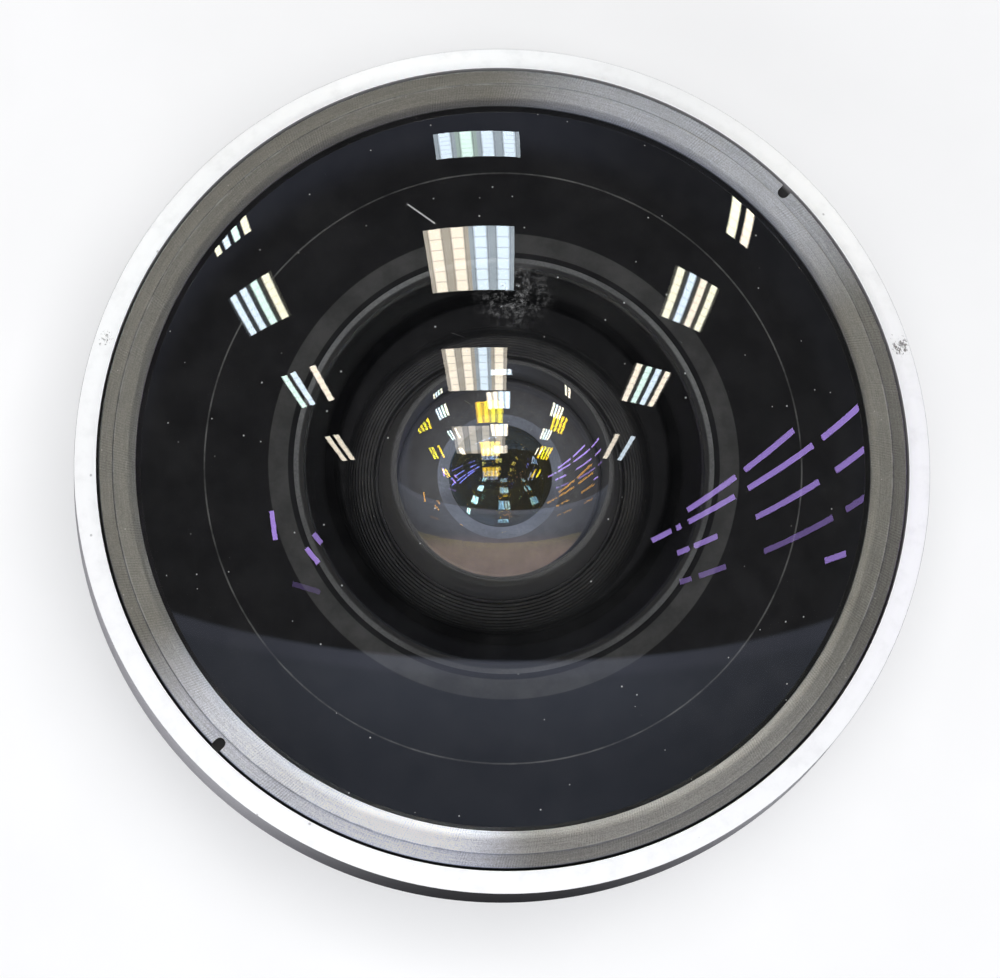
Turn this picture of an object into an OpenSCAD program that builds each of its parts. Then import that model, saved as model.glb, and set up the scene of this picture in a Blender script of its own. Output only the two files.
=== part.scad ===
// Fisheye lens with a screw mount, standing on its rear end, optical axis along +Z.
// The origin is the centre of the mount thread's rear face. All sizes are in millimetres.

/* [Camera mount] */
// Outside diameter of the mount thread
thread_d = 42; // [38:0.5:46]
// Length of the mount thread behind the flange
thread_len = 4.5; // [3.5:0.1:6]
// Wall left between the thread and the rear opening
thread_wall = 2.6; // [2.2:0.1:2.8]
// Width of the relief groove between thread and flange
thread_relief = 0.8; // [0.5:0.1:1.2]
// How far the mount flange lies inside the aperture ring's outside
flange_step = 2; // [0.5:0.1:3]
// Thickness of the mount flange
flange_t = 6; // [5:0.5:8]
// Thickness of the floor that the fixed barrel stands on
floor_t = 3; // [2.5:0.1:3.5]

/* [Outer rings] */
// Outside diameter of the aperture ring
aperture_ring_d = 60; // [56:0.5:66]
// Length of the aperture ring
aperture_ring_len = 8; // [7.5:0.5:10]
// Wall of the aperture ring
aperture_ring_wall = 3; // [2.5:0.1:3.2]
// How far the fixed scale ring stands out past the aperture ring
scale_step = 0.5; // [0:0.1:2]
// Length of the fixed scale ring
scale_ring_len = 7; // [6.5:0.5:10]
// How far the focus ring stands out past the scale ring
focus_step = 2.5; // [1.5:0.1:3.5]
// Length of the focus ring
focus_ring_len = 14; // [13:0.5:18]
// Wall of the focus ring
focus_wall = 2.4; // [1.8:0.1:2.8]
// Width of the grip grooves on the focus ring
grip_w = 1.4; // [0.8:0.1:1.8]
// Depth of the grip grooves on the focus ring
grip_depth = 0.7; // [0.3:0.1:1]
// Number of grip grooves on the focus ring
grip_count = 60; // [40:1:72]
// Number of finger scallops on the aperture ring
scallop_count = 24; // [16:1:30]
// Depth of those scallops
scallop_depth = 0.7; // [0.3:0.1:1]
// Gap between neighbouring rings
ring_gap = 0.3; // [0.2:0.05:0.5]

/* [Front shell] */
// Outside diameter of the bright front rim
rim_d = 74; // [68:0.5:82]
// Length of the front rim
rim_len = 7.8; // [7.5:0.1:10]
// Wall of the front rim
rim_wall = 1.9; // [1.6:0.1:2.2]
// How far the rim's front face falls from its inner to its outer edge
rim_fall = 0.8; // [0.3:0.1:1.2]
// Length of the flared bell behind the rim
bell_len = 10; // [9:0.5:14]
// Length of the bell's seat on the front cell
bell_overlap = 4.2; // [3.6:0.1:5]
// Wall of the bell
bell_wall = 1.6; // [1.2:0.1:1.8]

/* [Front glass] */
// Width of the retaining ring's face round the front glass
retainer_w = 3.2; // [2.6:0.1:3.8]
// Radius of the front glass's outer surface
glass_1_front_r = 52; // [48:0.5:60]
// Radius of the front glass's hollow
glass_1_rear_r = 20; // [18.5:0.1:21.5]
// Thickness of the front glass at its middle
glass_1_t = 4.8; // [4.4:0.1:5.6]
// Thickness of the front glass at its visible edge
glass_1_edge_t = 3.42; // [2.6:0.02:3.8]
// Width of the glass hidden under the retaining ring
glass_1_hold = 0.8; // [0.6:0.1:0.9]

/* [Focusing] */
// Turn of the focus ring from far to near, in degrees
focus_angle = 120; // [60:5:180]
// Forward travel of the lens block over that turn
focus_travel = 0.8; // [0.2:0.1:1]

/* [Lens block] */
// Outside diameter of the sliding lens barrel
barrel_d = 38; // [37.6:0.1:38.2]
// Wall of the fixed barrel
fixed_wall = 1.45; // [1.3:0.05:1.6]
// Wall of the helicoid ring
helicoid_wall = 2.95; // [2.5:0.05:3.2]
// Wall of the front cell's skirt
skirt_wall = 1.95; // [1.5:0.05:2.2]
// Radius of the glass elements in the middle of the barrel
middle_glass_r = 10.5; // [10:0.1:10.8]
// Radius of the glass elements at the rear
rear_glass_r = 9; // [8.8:0.1:9.3]
// Radius of the second glass element
glass_2_r = 12.2; // [12:0.1:12.4]
// Overlap of a lens ring over the edge of its glass
glass_lip = 1.2; // [0.9:0.1:1.4]

/* [Iris] */
// Radius of the fully open iris
iris_open_r = 7.4; // [6.8:0.1:7.8]
// Radius of the circle of blade pivots
pivot_circle_r = 14.6; // [14.4:0.1:14.8]
// Turn of the aperture ring from open to closed, in degrees
aperture_angle = 40; // [30:1:44]
// Swing of each blade over that turn, in degrees
blade_swing_angle = 22; // [14:1:23]
// Thickness of a blade
blade_t = 0.14; // [0.08:0.02:0.18]
// Radius of the blade pins
blade_pin_r = 0.5; // [0.4:0.05:0.6]

/* [Clearances] */
// Radial clearance of turning and sliding fits
run_fit = 0.05; // [0.03:0.01:0.08]
// Clearance of seated and screwed pieces
seat_fit = 0.05; // [0.02:0.01:0.08]
// Axial room beside moving pieces
side_play = 0.2; // [0.1:0.05:0.3]

/* [Hidden] */
$fn = 96;
fine_fn = 160;
small_fn = 32;

// Height of a ball's cap at a radius
function sag(radius, r) = radius - sqrt(radius * radius - r * r);
function polar(r, angle) = [r * cos(angle), r * sin(angle)];
function turn(p, angle) =
    [p[0] * cos(angle) - p[1] * sin(angle), p[0] * sin(angle) + p[1] * cos(angle)];

// Finishes
black = "#1c1c1e";
satin_black = "#2a2a2c";
turned_grey = "#6d6b66";
bright = "#e4e4e2";
brass = "#b08d4a";
steel = "#9a9c9f";
glass_tint = [0.35, 0.4, 0.5, 0.5];

// Working allowances: how far a cut runs past a face, and how far joined shapes sink into each other
cut_over = 1;
joint_sink = 0.1;

// Small clearances and edges
cell_gap = 0.1;
tip_room = 0.1;
head_room = 0.1;
glass_gap = 0.03;
edge_break = 0.4;
fine_break = 0.2;
sharp_break = 0.05;

// Small screws
screw_r = 0.75;
screw_head_r = 1.4;
screw_head_t = 0.95;
screw_sink = 0.2;
screw_bite = 1.6;
screw_slot_w = 0.35;
screw_slot_depth = 0.4;
set_screw_r = 0.8;
set_screw_bite = 0.8;
set_screw_sink = 0.25;
small_screw_r = 0.5;
small_screw_head_r = 0.9;
small_screw_head_t = 0.5;
cell_screw_r = 0.6;
cell_screw_head_r = 1;
cell_screw_head_t = 0.7;
cell_screw_bite = 2.5;
mount_screw_count = 4;
mount_screw_angle = 45;
ring_screw_count = 3;
scale_screw_angle = 30;
focus_screw_angle = 75;

// Radii from the mount outwards
thread_r = thread_d / 2;
thread_lead = 0.5;
relief_depth = 0.7;
relief_land = 0.3;
mount_bore_r = thread_r - thread_wall;
mount_screw_circle_r = thread_r + 2 * relief_land + screw_head_r + head_room;
aperture_r = aperture_ring_d / 2;
flange_r = aperture_r - flange_step;
neck_wall = 1.6;
neck_r = aperture_r - aperture_ring_wall;
neck_out_r = neck_r - run_fit;
neck_in_r = neck_out_r - neck_wall;
barrel_r = barrel_d / 2;
fixed_in_r = barrel_r + run_fit;
fixed_out_r = fixed_in_r + fixed_wall;
fixed_flange_gap = 0.5;
fixed_flange_r = neck_in_r - fixed_flange_gap;
fixed_flange_t = 2;
helicoid_in_r = fixed_out_r + run_fit;
helicoid_out_r = helicoid_in_r + helicoid_wall;
skirt_in_r = helicoid_out_r + run_fit;
skirt_out_r = skirt_in_r + skirt_wall;
focus_seat_step = 1;
focus_seat_r = skirt_out_r + focus_seat_step;
scale_r = aperture_r + scale_step;
focus_r = scale_r + focus_step;
focus_shell_r = focus_r - focus_wall;
rim_r = rim_d / 2;
rim_in_r = rim_r - rim_wall;
rim_edge = 0.12;
cell_r = rim_in_r - seat_fit;
cell_wall = 2;
bell_seat_step = 1.65;
bell_seat_r = cell_r - bell_seat_step;
retainer_gap = 0.2;
retainer_step_w = 1.95;
retainer_step_h = 0.1;
retainer_lip_gap = 0.06;
retainer_slot_w = 0.95;
retainer_slot_len = 1;
retainer_slot_depth = 1.1;
retainer_slot_angles = [45, 225];
retainer_r = rim_in_r - retainer_gap;
view_r = retainer_r - retainer_w;
glass_1_r = view_r + glass_1_hold;
glass_1_pocket_r = glass_1_r + cell_gap;

// Heights from the mount upwards
flange_z = thread_len;
floor_z = flange_z + floor_t;
aperture_z0 = flange_z + flange_t + ring_gap;
aperture_z1 = aperture_z0 + aperture_ring_len;
scale_z0 = aperture_z1 + ring_gap;
scale_z1 = scale_z0 + scale_ring_len;
scale_seat = 3;
scale_lip_t = 1.4;
scale_screw_rise = 1.6;
scale_screw_z = scale_z0 + scale_screw_rise;
neck_z1 = scale_z0 + scale_seat;
focus_z0 = scale_z1 + ring_gap;
focus_z1 = focus_z0 + focus_ring_len;
bell_z0 = focus_z1 + ring_gap;
bell_z1 = bell_z0 + bell_len;
bell_collar_z = bell_z1 - bell_overlap - edge_break;
bell_screw_z = bell_z1 - bell_overlap / 2;
rim_z1 = bell_z1 + rim_len;
retainer_lip_t = 0.4;
view_z = rim_z1 - retainer_lip_t;
crown_z = view_z + sag(glass_1_front_r, view_r);
glass_1_rear_z = view_z - glass_1_edge_t;
hollow_z = crown_z - glass_1_t;
glass_1_pocket = 0.8;

// Focusing helicoid
helicoid_flange_t = 4;
focus_screw_z = focus_z0 + helicoid_flange_t / 2;
skirt_room = 0.4;
skirt_z0 = focus_z0 + helicoid_flange_t + skirt_room;
barrel_flange_gap = 1.05;
barrel_flange_r = skirt_in_r - barrel_flange_gap;
barrel_flange_rise = 0.8;
barrel_flange_z = bell_z0 + barrel_flange_rise;
barrel_flange_t = 2;
front_screw_circle_r = (barrel_r + barrel_flange_r) / 2;
cell_web_z = barrel_flange_z + barrel_flange_t;
helicoid_drop = 4;
helicoid_z1 = barrel_flange_z - helicoid_drop;
clip_t = 1.4;
clip_step = 0.7;
fixed_z1 = helicoid_z1 + side_play + clip_t;
stop_angle = 200;
stop_pin_r = 0.6;
stop_rise = 0.8;
stop_circle_r = (helicoid_in_r + focus_seat_r) / 2;
stop_half_angle = asin((stop_pin_r + tip_room) / stop_circle_r);
grip_base = 3.8;
grip_margin = 1.2;

// Second glass and its rings, measured down from the rear face of the front glass
barrel_drop = 5;
barrel_top_z = glass_1_rear_z - barrel_drop;
glass_2_drop = 4.76;
glass_2_edge_z = glass_1_rear_z - glass_2_drop;
glass_2_front_r = 17;
glass_2_rear_r = 9;
glass_2_t = 1.8;
glass_2_hollow_r = 8.2;
glass_2_bore_r = 9.2;
glass_2_crown_z = glass_2_edge_z + sag(glass_2_front_r, glass_2_r);
glass_2_seat_z = glass_2_crown_z - glass_2_t - sag(glass_2_rear_r, glass_2_hollow_r);
ring_2_wall = 1.45;
ring_2_lip = 0.7;
ring_2_depth = 0.9;
ring_2_rise = 1.2;
ring_2_bevel_w = 0.65;
ring_2_bevel_h = 0.35;
ring_2_gap = 0.08;
ring_2_out_r = glass_2_r + ring_2_wall;
ring_2_bore_r = ring_2_out_r + seat_fit;
ring_2_seat_z = barrel_top_z - ring_2_depth;
ring_2_top_z = barrel_top_z + ring_2_rise;
baffle_gap = 0.3;
baffle_edge = 0.8;
baffle_rise = 2.7;
baffle_foot = 1;
baffle_flat = 1.3;
baffle_flare = 0.6;
baffle_in_r = ring_2_out_r + baffle_gap;
baffle_out_r = barrel_r - baffle_edge;
baffle_z0 = barrel_top_z + seat_fit;
baffle_foot_z = barrel_top_z + baffle_foot;
baffle_top_z = barrel_top_z + baffle_rise;
baffle_grooves = 8;
baffle_groove_depth = 0.14;
baffle_land_share = 0.8;

// Middle group: a cemented pair, a spacer, a thick element and its ring
cement_gap = 0.02;
middle_stop_t = 1.4;
middle_stop_z = glass_2_seat_z - middle_stop_t;
middle_bore_r = middle_glass_r + cell_gap;
middle_lip_r = middle_glass_r - glass_lip;
glass_3_hollow = 1.2;
glass_3_t = 0.9;
glass_3_front_z = middle_stop_z - seat_fit;
glass_3_front_r = (middle_lip_r * middle_lip_r + glass_3_hollow * glass_3_hollow) / 2 / glass_3_hollow;
middle_joint_r = 14;
middle_joint_z = glass_3_front_z - glass_3_hollow - glass_3_t;
glass_4_rear_r = 24;
glass_4_t = 8.1;
glass_4_crown_z = middle_joint_z - glass_4_t;
middle_air = 4.5;
glass_5_front_r = 18;
glass_5_rear_r = 24;
glass_5_t = 8.8;
glass_5_crown_z = glass_4_crown_z - middle_air;
glass_5_tail_z = glass_5_crown_z - glass_5_t;
middle_ring_len = 2.4;

// Iris, measured up from the flange
iris_bore_r = 16.55;
iris_ring_r = iris_bore_r - run_fit;
iris_rise = 10.6;
drive_z0 = flange_z + iris_rise;
drive_t = 1.4;
drive_step = 0.6;
drive_z1 = drive_z0 + drive_t;
blade_count = 6;
blade_pitch = 0.24;
blade_room = 0.3;
blade_z0 = drive_z1 + blade_room;
blade_band_w = 5.2;
blade_sweep_angle = 112;
blade_heel_angle = 4;
blade_ear = 1.1;
blade_ear_angle = 6;
plate_room = 0.16;
plate_step = 0.2;
iris_plate_t = 1.25;
iris_plate_z0 = blade_z0 + blade_count * blade_pitch + plate_room;
iris_step_z = iris_plate_z0 + iris_plate_t + seat_fit;
pin_arm = 3.6;
pin_angle = 2 * asin(pin_arm / 2 / pivot_circle_r);
pin_fit = 0.05;
pin_short = 0.25;
cam_fit = 0.08;
cam_steps = 8;

// Aperture drive
fork_angle = 255;
arm_w = 2.2;
arm_t = 1.2;
arm_lift = 0.1;
arm_room = 0.15;
arm_root = 0.6;
arm_reach = 1.9;
arm_z0 = drive_z0 + arm_lift;
arm_tip_r = fixed_out_r + arm_reach;
slot_room = 1.2;
fork_w = 5;
fork_t = 4;
fork_drop = 1.4;
fork_z0 = drive_z0 - fork_drop;
fork_mid_z = fork_z0 + fork_t / 2;
fork_pocket = 1.1;
fork_hole_floor = 1;
prong_gap = 0.4;
prong_r = fixed_out_r + prong_gap;
fork_root_gap = 0.3;
fork_root_r = arm_tip_r + fork_root_gap;
fork_head_t = 0.8;
fork_head_sink = 0.25;
fork_head_r = aperture_r - fork_head_sink - fork_head_t;
fork_half_angle = asin((fork_w / 2 + slot_room) / neck_in_r);
scallop_r = 3;
scallop_len = 4;

// Click stop
click_angle = 160;
click_count = 6;
click_rise = 3.1;
click_z = aperture_z0 + click_rise;
ball_r = 0.75;
ball_rest_r = neck_out_r - ball_r;
click_groove_depth = 0.2;
click_groove_r = 0.9;
click_groove_len = 2.4;
leaf_t = 0.3;
leaf_w = 2;
leaf_out_r = neck_in_r - seat_fit;
leaf_in_r = leaf_out_r - leaf_t;
leaf_tail_angle = 25;
leaf_nose_angle = 5;
leaf_screw_angle = click_angle - 19;
leaf_hole_wall = 0.3;

// Guide key
key_angle = 90;
key_w = 3;
key_len = 3.2;
key_drop = 5.8;
key_bite = 1.4;
key_z0 = scale_z1 - key_drop;
key_mid_z = key_z0 + key_len / 2;
key_in_r = barrel_r - key_bite;
key_flat = 0.3;
key_plate_w = 7.6;
key_plate_len = 4.1;
key_plate_t = 1.2;
key_plate_z = key_mid_z - key_plate_len / 2;
key_plate_r = fixed_out_r - key_flat;
key_plate_out_r = key_plate_r + key_plate_t;
key_screw_spread = 2.6;
key_screw_floor = 0.35;

// Rear group, measured from the flange
rear_cell_z1 = drive_z0 - side_play;
rear_lip = 1.3;
rear_lip_r = rear_glass_r - rear_lip;
rear_stop_gap = 0.05;
glass_6_rise = 9.6;
glass_6_crown_z = flange_z + glass_6_rise;
glass_6_front_r = 20;
rear_joint_rise = 5.2;
rear_joint_r = 30;
rear_joint_z = flange_z + rear_joint_rise;
glass_7_rise = 2.6;
glass_7_rear_r = 22;
glass_7_crown_z = flange_z + glass_7_rise;
glass_8_rise = 1.9;
glass_8_drop = 1.2;
glass_8_front_r = 28;
glass_8_crown_z = flange_z + glass_8_rise;
glass_8_rear_z = flange_z - glass_8_drop;
rear_spacer_lip = 1.1;
rear_spacer_r = rear_glass_r - rear_spacer_lip;
rear_ring_sink = 0.2;
rear_ring_slot_w = 0.8;
rear_ring_slot_depth = 0.5;
rear_ring_slot_inset = 0.5;
nose_drop = 2.6;
nose_step_drop = 1.5;
nose_r = 11.5;
nose_z0 = flange_z - nose_drop;
nose_z1 = flange_z - nose_step_drop;
rear_barrel_gap = 0.9;
rear_barrel_r = mount_bore_r - rear_barrel_gap;
rear_barrel_rise = 6;
rear_barrel_z1 = flange_z + rear_barrel_rise;
filter_t = 1.1;
filter_r = 10.6;
filter_lip = 1;
filter_floor = 0.4;
filter_gap = 0.1;
filter_ring_r = 13;
filter_ring_break = 0.3;
filter_ring_back = 0.15;
filter_z1 = nose_z0 - filter_gap;
filter_z0 = filter_z1 - filter_t;
filter_ring_z0 = filter_z0 - filter_floor;
filter_ring_z1 = nose_z1 - filter_ring_back;

// Half the angle that the drive arm's slot takes at a radius
function arm_half_angle(r) = asin((arm_w / 2 + slot_room / 2) / r);

// Outer radius of the bell at a share of its flare
function bell_out_r(share) = focus_r + (rim_r - focus_r) * share * share;

// Heights of glass surfaces at a radius
function glass_1_front(r) = crown_z - sag(glass_1_front_r, r);
function glass_2_front(r) = glass_2_crown_z - sag(glass_2_front_r, r);
function glass_4_rear(r) = glass_4_crown_z + sag(glass_4_rear_r, r);
function glass_5_front(r) = glass_5_crown_z - sag(glass_5_front_r, r);
function glass_5_rear(r) = glass_5_tail_z + sag(glass_5_rear_r, r);
function glass_6_front(r) = glass_6_crown_z - sag(glass_6_front_r, r);
function glass_7_rear(r) = glass_7_crown_z + sag(glass_7_rear_r, r);
function glass_8_front(r) = glass_8_crown_z - sag(glass_8_front_r, r);

// Place of a blade's drive pin in the drive ring's own frame, after a share of the full turn
function cam_point(share) = let (
    pivot = [pivot_circle_r, 0],
    pin = pivot + turn(polar(pivot_circle_r, pin_angle) - pivot, blade_swing_angle * share)
) turn(pin, -aperture_angle * share);

// A solid of revolution from an outline of radius and height
module turned(outline) {
    rotate_extrude() polygon(outline);
}

// A plain ring between two radii and two heights
module ring(r_in, r_out, z0, z1) {
    turned([[r_in, z0], [r_out, z0], [r_out, z1], [r_in, z1]]);
}

// Part of a ring between two angles
module arc_block(r_in, r_out, z0, z1, a0, a1) {
    rotate([0, 0, a0])
        rotate_extrude(angle = a1 - a0)
            translate([r_in, z0])
                square([r_out - r_in, z1 - z0]);
}

// A rod along a radius at an angle and height
module radial_rod(r, r_in, r_out, z, angle) {
    rotate([0, 0, angle])
        translate([r_in, 0, z])
            rotate([0, 90, 0])
                cylinder(r = r, h = r_out - r_in);
}

// A block along a radius at an angle, centred across its width
module radial_block(r_in, r_out, w, z0, z1, angle) {
    rotate([0, 0, angle])
        translate([r_in, -w / 2, z0])
            cube([r_out - r_in, w, z1 - z0]);
}

// An upright rod at a radius and angle
module post(r, circle_r, angle, z0, z1, facets = $fn) {
    rotate([0, 0, angle])
        translate([circle_r, 0, z0])
            cylinder(r = r, h = z1 - z0, $fn = facets);
}

// Copies round the axis
module on_circle(count, start) {
    for (i = [0 : count - 1])
        rotate([0, 0, start + i * 360 / count])
            children();
}

// Slotted set screws along radii, and the holes that take them
module set_screws(seat_r, face_r, z, start) {
    out_r = face_r - set_screw_sink;
    on_circle(ring_screw_count, start) difference() {
        radial_rod(set_screw_r, seat_r - set_screw_bite, out_r, z, 0);
        radial_block(out_r - screw_slot_depth, out_r + cut_over, screw_slot_w,
            z - screw_head_r, z + screw_head_r, 0);
    }
}

module set_screw_holes(r_in, r_out, z, start) {
    on_circle(ring_screw_count, start)
        radial_rod(set_screw_r + seat_fit, r_in, r_out, z, 0);
}

// A glass rod to be cut to a lens by balls
module glass_rod(r, z0, z1) {
    translate([0, 0, z0]) cylinder(r = r, h = z1 - z0);
}

module ball(r, z) {
    translate([0, 0, z]) sphere(r = r, $fn = fine_fn);
}

module mount_base() {
    relief_r = thread_r - relief_depth;
    land_r = thread_r + relief_land;
    color(steel) difference() {
        turned([
            [mount_bore_r, 0], [thread_r - thread_lead, 0], [thread_r, thread_lead],
            [thread_r, flange_z - thread_relief], [relief_r, flange_z - thread_relief],
            [relief_r, flange_z + relief_land], [land_r, flange_z + relief_land], [land_r, flange_z],
            [flange_r - edge_break, flange_z], [flange_r, flange_z + edge_break],
            [flange_r, flange_z + flange_t - edge_break], [flange_r - edge_break, flange_z + flange_t],
            [neck_out_r, flange_z + flange_t], [neck_out_r, neck_z1], [neck_in_r, neck_z1],
            [neck_in_r, floor_z], [mount_bore_r, floor_z]
        ]);
        on_circle(mount_screw_count, mount_screw_angle) {
            post(screw_head_r + head_room, mount_screw_circle_r, 0,
                flange_z - cut_over, flange_z + screw_sink + screw_head_t + seat_fit);
            post(screw_r + seat_fit, mount_screw_circle_r, 0, flange_z, floor_z + cut_over);
        }
        arc_block(neck_in_r - cut_over, neck_out_r + cut_over,
            fork_z0 - side_play, fork_z0 + fork_t + side_play,
            fork_angle - fork_half_angle, fork_angle + aperture_angle + fork_half_angle);
        radial_rod(ball_r + run_fit, neck_in_r - cut_over, neck_out_r + cut_over, click_z, click_angle);
        radial_rod(small_screw_r + seat_fit, neck_in_r - cut_over, neck_out_r - leaf_hole_wall,
            click_z, leaf_screw_angle);
        set_screw_holes(neck_out_r - set_screw_bite - tip_room, neck_out_r + cut_over,
            scale_screw_z, scale_screw_angle);
    }
}

module mount_screws() {
    head_z = flange_z + screw_sink;
    color(steel) on_circle(mount_screw_count, mount_screw_angle) difference() {
        union() {
            post(screw_head_r, mount_screw_circle_r, 0, head_z, head_z + screw_head_t);
            post(screw_r, mount_screw_circle_r, 0, head_z + screw_slot_depth, floor_z + screw_bite);
        }
        radial_block(mount_screw_circle_r - 2 * screw_head_r, mount_screw_circle_r + 2 * screw_head_r,
            screw_slot_w, head_z - cut_over, head_z + screw_slot_depth, 0);
    }
}

// Brass tube that guides the lens barrel
module fixed_barrel() {
    slot_half = arm_half_angle(fixed_in_r);
    color(brass) difference() {
        turned([
            [fixed_in_r, floor_z], [fixed_flange_r, floor_z], [fixed_flange_r, floor_z + fixed_flange_t],
            [fixed_out_r, floor_z + fixed_flange_t], [fixed_out_r, fixed_z1], [fixed_in_r, fixed_z1]
        ]);
        on_circle(mount_screw_count, mount_screw_angle)
            post(screw_r + seat_fit, mount_screw_circle_r, 0,
                floor_z - cut_over, floor_z + fixed_flange_t + cut_over);
        arc_block(fixed_in_r - cut_over, fixed_out_r + cut_over,
            arm_z0 - side_play, arm_z0 + arm_t + focus_travel + side_play,
            fork_angle - slot_half, fork_angle + aperture_angle + slot_half);
        radial_block(key_in_r, fixed_out_r + cut_over, key_w + 2 * seat_fit,
            key_z0 - seat_fit, key_z0 + key_len + seat_fit, key_angle);
        radial_block(key_plate_r, fixed_out_r + cut_over, key_plate_w + 2 * cell_gap,
            key_plate_z - cell_gap, key_plate_z + key_plate_len + cell_gap, key_angle);
        key_screw_rods(small_screw_r + seat_fit, fixed_in_r - cut_over, fixed_out_r + cut_over);
    }
}

// The two screw places beside the guide key
module key_screw_rods(r, r_in, r_out) {
    for (side = [-1, 1])
        rotate([0, 0, key_angle])
            translate([0, side * key_screw_spread, 0])
                radial_rod(r, r_in, r_out, key_mid_z, 0);
}

// Fixed ring with the depth scale; a pin on its front stops the focus ring
module scale_ring() {
    color(black) {
        difference() {
            turned([
                [neck_r, scale_z0], [scale_r - edge_break, scale_z0], [scale_r, scale_z0 + edge_break],
                [scale_r, scale_z1 - edge_break], [scale_r - edge_break, scale_z1],
                [helicoid_in_r, scale_z1], [helicoid_in_r, scale_z1 - scale_lip_t],
                [neck_r, scale_z1 - scale_lip_t]
            ]);
            set_screw_holes(neck_r - cut_over, scale_r + cut_over, scale_screw_z, scale_screw_angle);
        }
        post(stop_pin_r, stop_circle_r, stop_angle, scale_z1 - joint_sink, focus_z0 + stop_rise);
    }
}

module scale_ring_screws() {
    color(steel) set_screws(neck_out_r, scale_r, scale_screw_z, scale_screw_angle);
}

module guide_key() {
    color(steel) difference() {
        union() {
            radial_block(key_in_r, key_plate_r + joint_sink, key_w, key_z0, key_z0 + key_len, key_angle);
            radial_block(key_plate_r, key_plate_out_r, key_plate_w,
                key_plate_z, key_plate_z + key_plate_len, key_angle);
        }
        key_screw_rods(small_screw_r + seat_fit, key_plate_r - cut_over, key_plate_out_r + cut_over);
    }
}

module guide_key_screws() {
    color(steel) {
        key_screw_rods(small_screw_r, fixed_in_r + key_screw_floor, key_plate_out_r + joint_sink);
        key_screw_rods(small_screw_head_r, key_plate_out_r, key_plate_out_r + small_screw_head_t);
    }
}

module helicoid_retainer() {
    color(steel)
        ring(fixed_out_r + seat_fit / 2, helicoid_out_r - clip_step, helicoid_z1 + side_play, fixed_z1);
}

module click_spring() {
    color(brass) difference() {
        arc_block(leaf_in_r, leaf_out_r, click_z - leaf_w / 2, click_z + leaf_w / 2,
            click_angle - leaf_tail_angle, click_angle + leaf_nose_angle);
        radial_rod(small_screw_r + seat_fit, leaf_in_r - cut_over, leaf_out_r + cut_over,
            click_z, leaf_screw_angle);
    }
}

module click_spring_screw() {
    seat_r = leaf_in_r - seat_fit;
    color(steel) {
        radial_rod(small_screw_r, seat_r - joint_sink, neck_out_r - leaf_hole_wall - tip_room,
            click_z, leaf_screw_angle);
        radial_rod(small_screw_head_r, seat_r - small_screw_head_t, seat_r, click_z, leaf_screw_angle);
    }
}

module click_ball() {
    color(steel) rotate([0, 0, click_angle])
        translate([ball_rest_r, 0, click_z])
            sphere(r = ball_r, $fn = small_fn);
}

module aperture_ring() {
    color(black) difference() {
        turned([
            [neck_r, aperture_z0], [aperture_r - edge_break, aperture_z0],
            [aperture_r, aperture_z0 + edge_break], [aperture_r, aperture_z1 - edge_break],
            [aperture_r - edge_break, aperture_z1], [neck_r, aperture_z1]
        ]);
        on_circle(scallop_count, 180 / scallop_count)
            post(scallop_r, aperture_r + scallop_r - scallop_depth, 0,
                aperture_z0 - cut_over, aperture_z0 + scallop_len, small_fn);
        for (i = [0 : click_count - 1])
            post(click_groove_r, neck_r + click_groove_depth - click_groove_r,
                click_angle - i * aperture_angle / (click_count - 1),
                click_z - click_groove_len / 2, click_z + click_groove_len / 2, small_fn);
        radial_block(neck_r - cut_over, neck_r + fork_pocket, fork_w + 2 * seat_fit,
            fork_z0 - seat_fit, fork_z0 + fork_t + seat_fit, fork_angle);
        radial_rod(screw_r + seat_fit, neck_r - cut_over, aperture_r + cut_over, fork_mid_z, fork_angle);
        radial_rod(screw_head_r + head_room, fork_head_r - seat_fit, aperture_r + cut_over,
            fork_mid_z, fork_angle);
    }
}

// Carries the aperture ring's turn to the iris arm, which slides in its slot
module aperture_fork() {
    color(brass) difference() {
        radial_block(prong_r, neck_r + fork_pocket - seat_fit, fork_w,
            fork_z0, fork_z0 + fork_t, fork_angle);
        radial_block(prong_r - cut_over, fork_root_r, arm_w + 2 * run_fit,
            fork_z0 - cut_over, fork_z0 + fork_t + cut_over, fork_angle);
        radial_rod(screw_r + seat_fit, fork_root_r + fork_hole_floor, neck_r + fork_pocket + cut_over,
            fork_mid_z, fork_angle);
    }
}

module aperture_fork_screw() {
    top_r = fork_head_r + fork_head_t;
    color(steel) difference() {
        union() {
            radial_rod(screw_r, fork_root_r + fork_hole_floor + tip_room, fork_head_r + joint_sink,
                fork_mid_z, fork_angle);
            radial_rod(screw_head_r, fork_head_r, top_r, fork_mid_z, fork_angle);
        }
        radial_block(top_r - screw_slot_depth, top_r + cut_over, screw_slot_w,
            fork_z0, fork_z0 + fork_t, fork_angle);
    }
}

module focus_ring() {
    bore_r = focus_seat_r + seat_fit;
    step_z = skirt_z0 + tip_room;
    color(black) difference() {
        turned([
            [bore_r, focus_z0], [focus_r - edge_break, focus_z0], [focus_r, focus_z0 + edge_break],
            [focus_r, focus_z1 - edge_break], [focus_r - edge_break, focus_z1],
            [focus_shell_r, focus_z1], [focus_shell_r, step_z], [bore_r, step_z]
        ]);
        on_circle(grip_count, 0)
            radial_block(focus_r - grip_depth, focus_r + cut_over, grip_w,
                focus_z0 + grip_base, focus_z1 - grip_margin, 0);
        set_screw_holes(focus_seat_r - cut_over, focus_r + cut_over, focus_screw_z, focus_screw_angle);
    }
}

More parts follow.
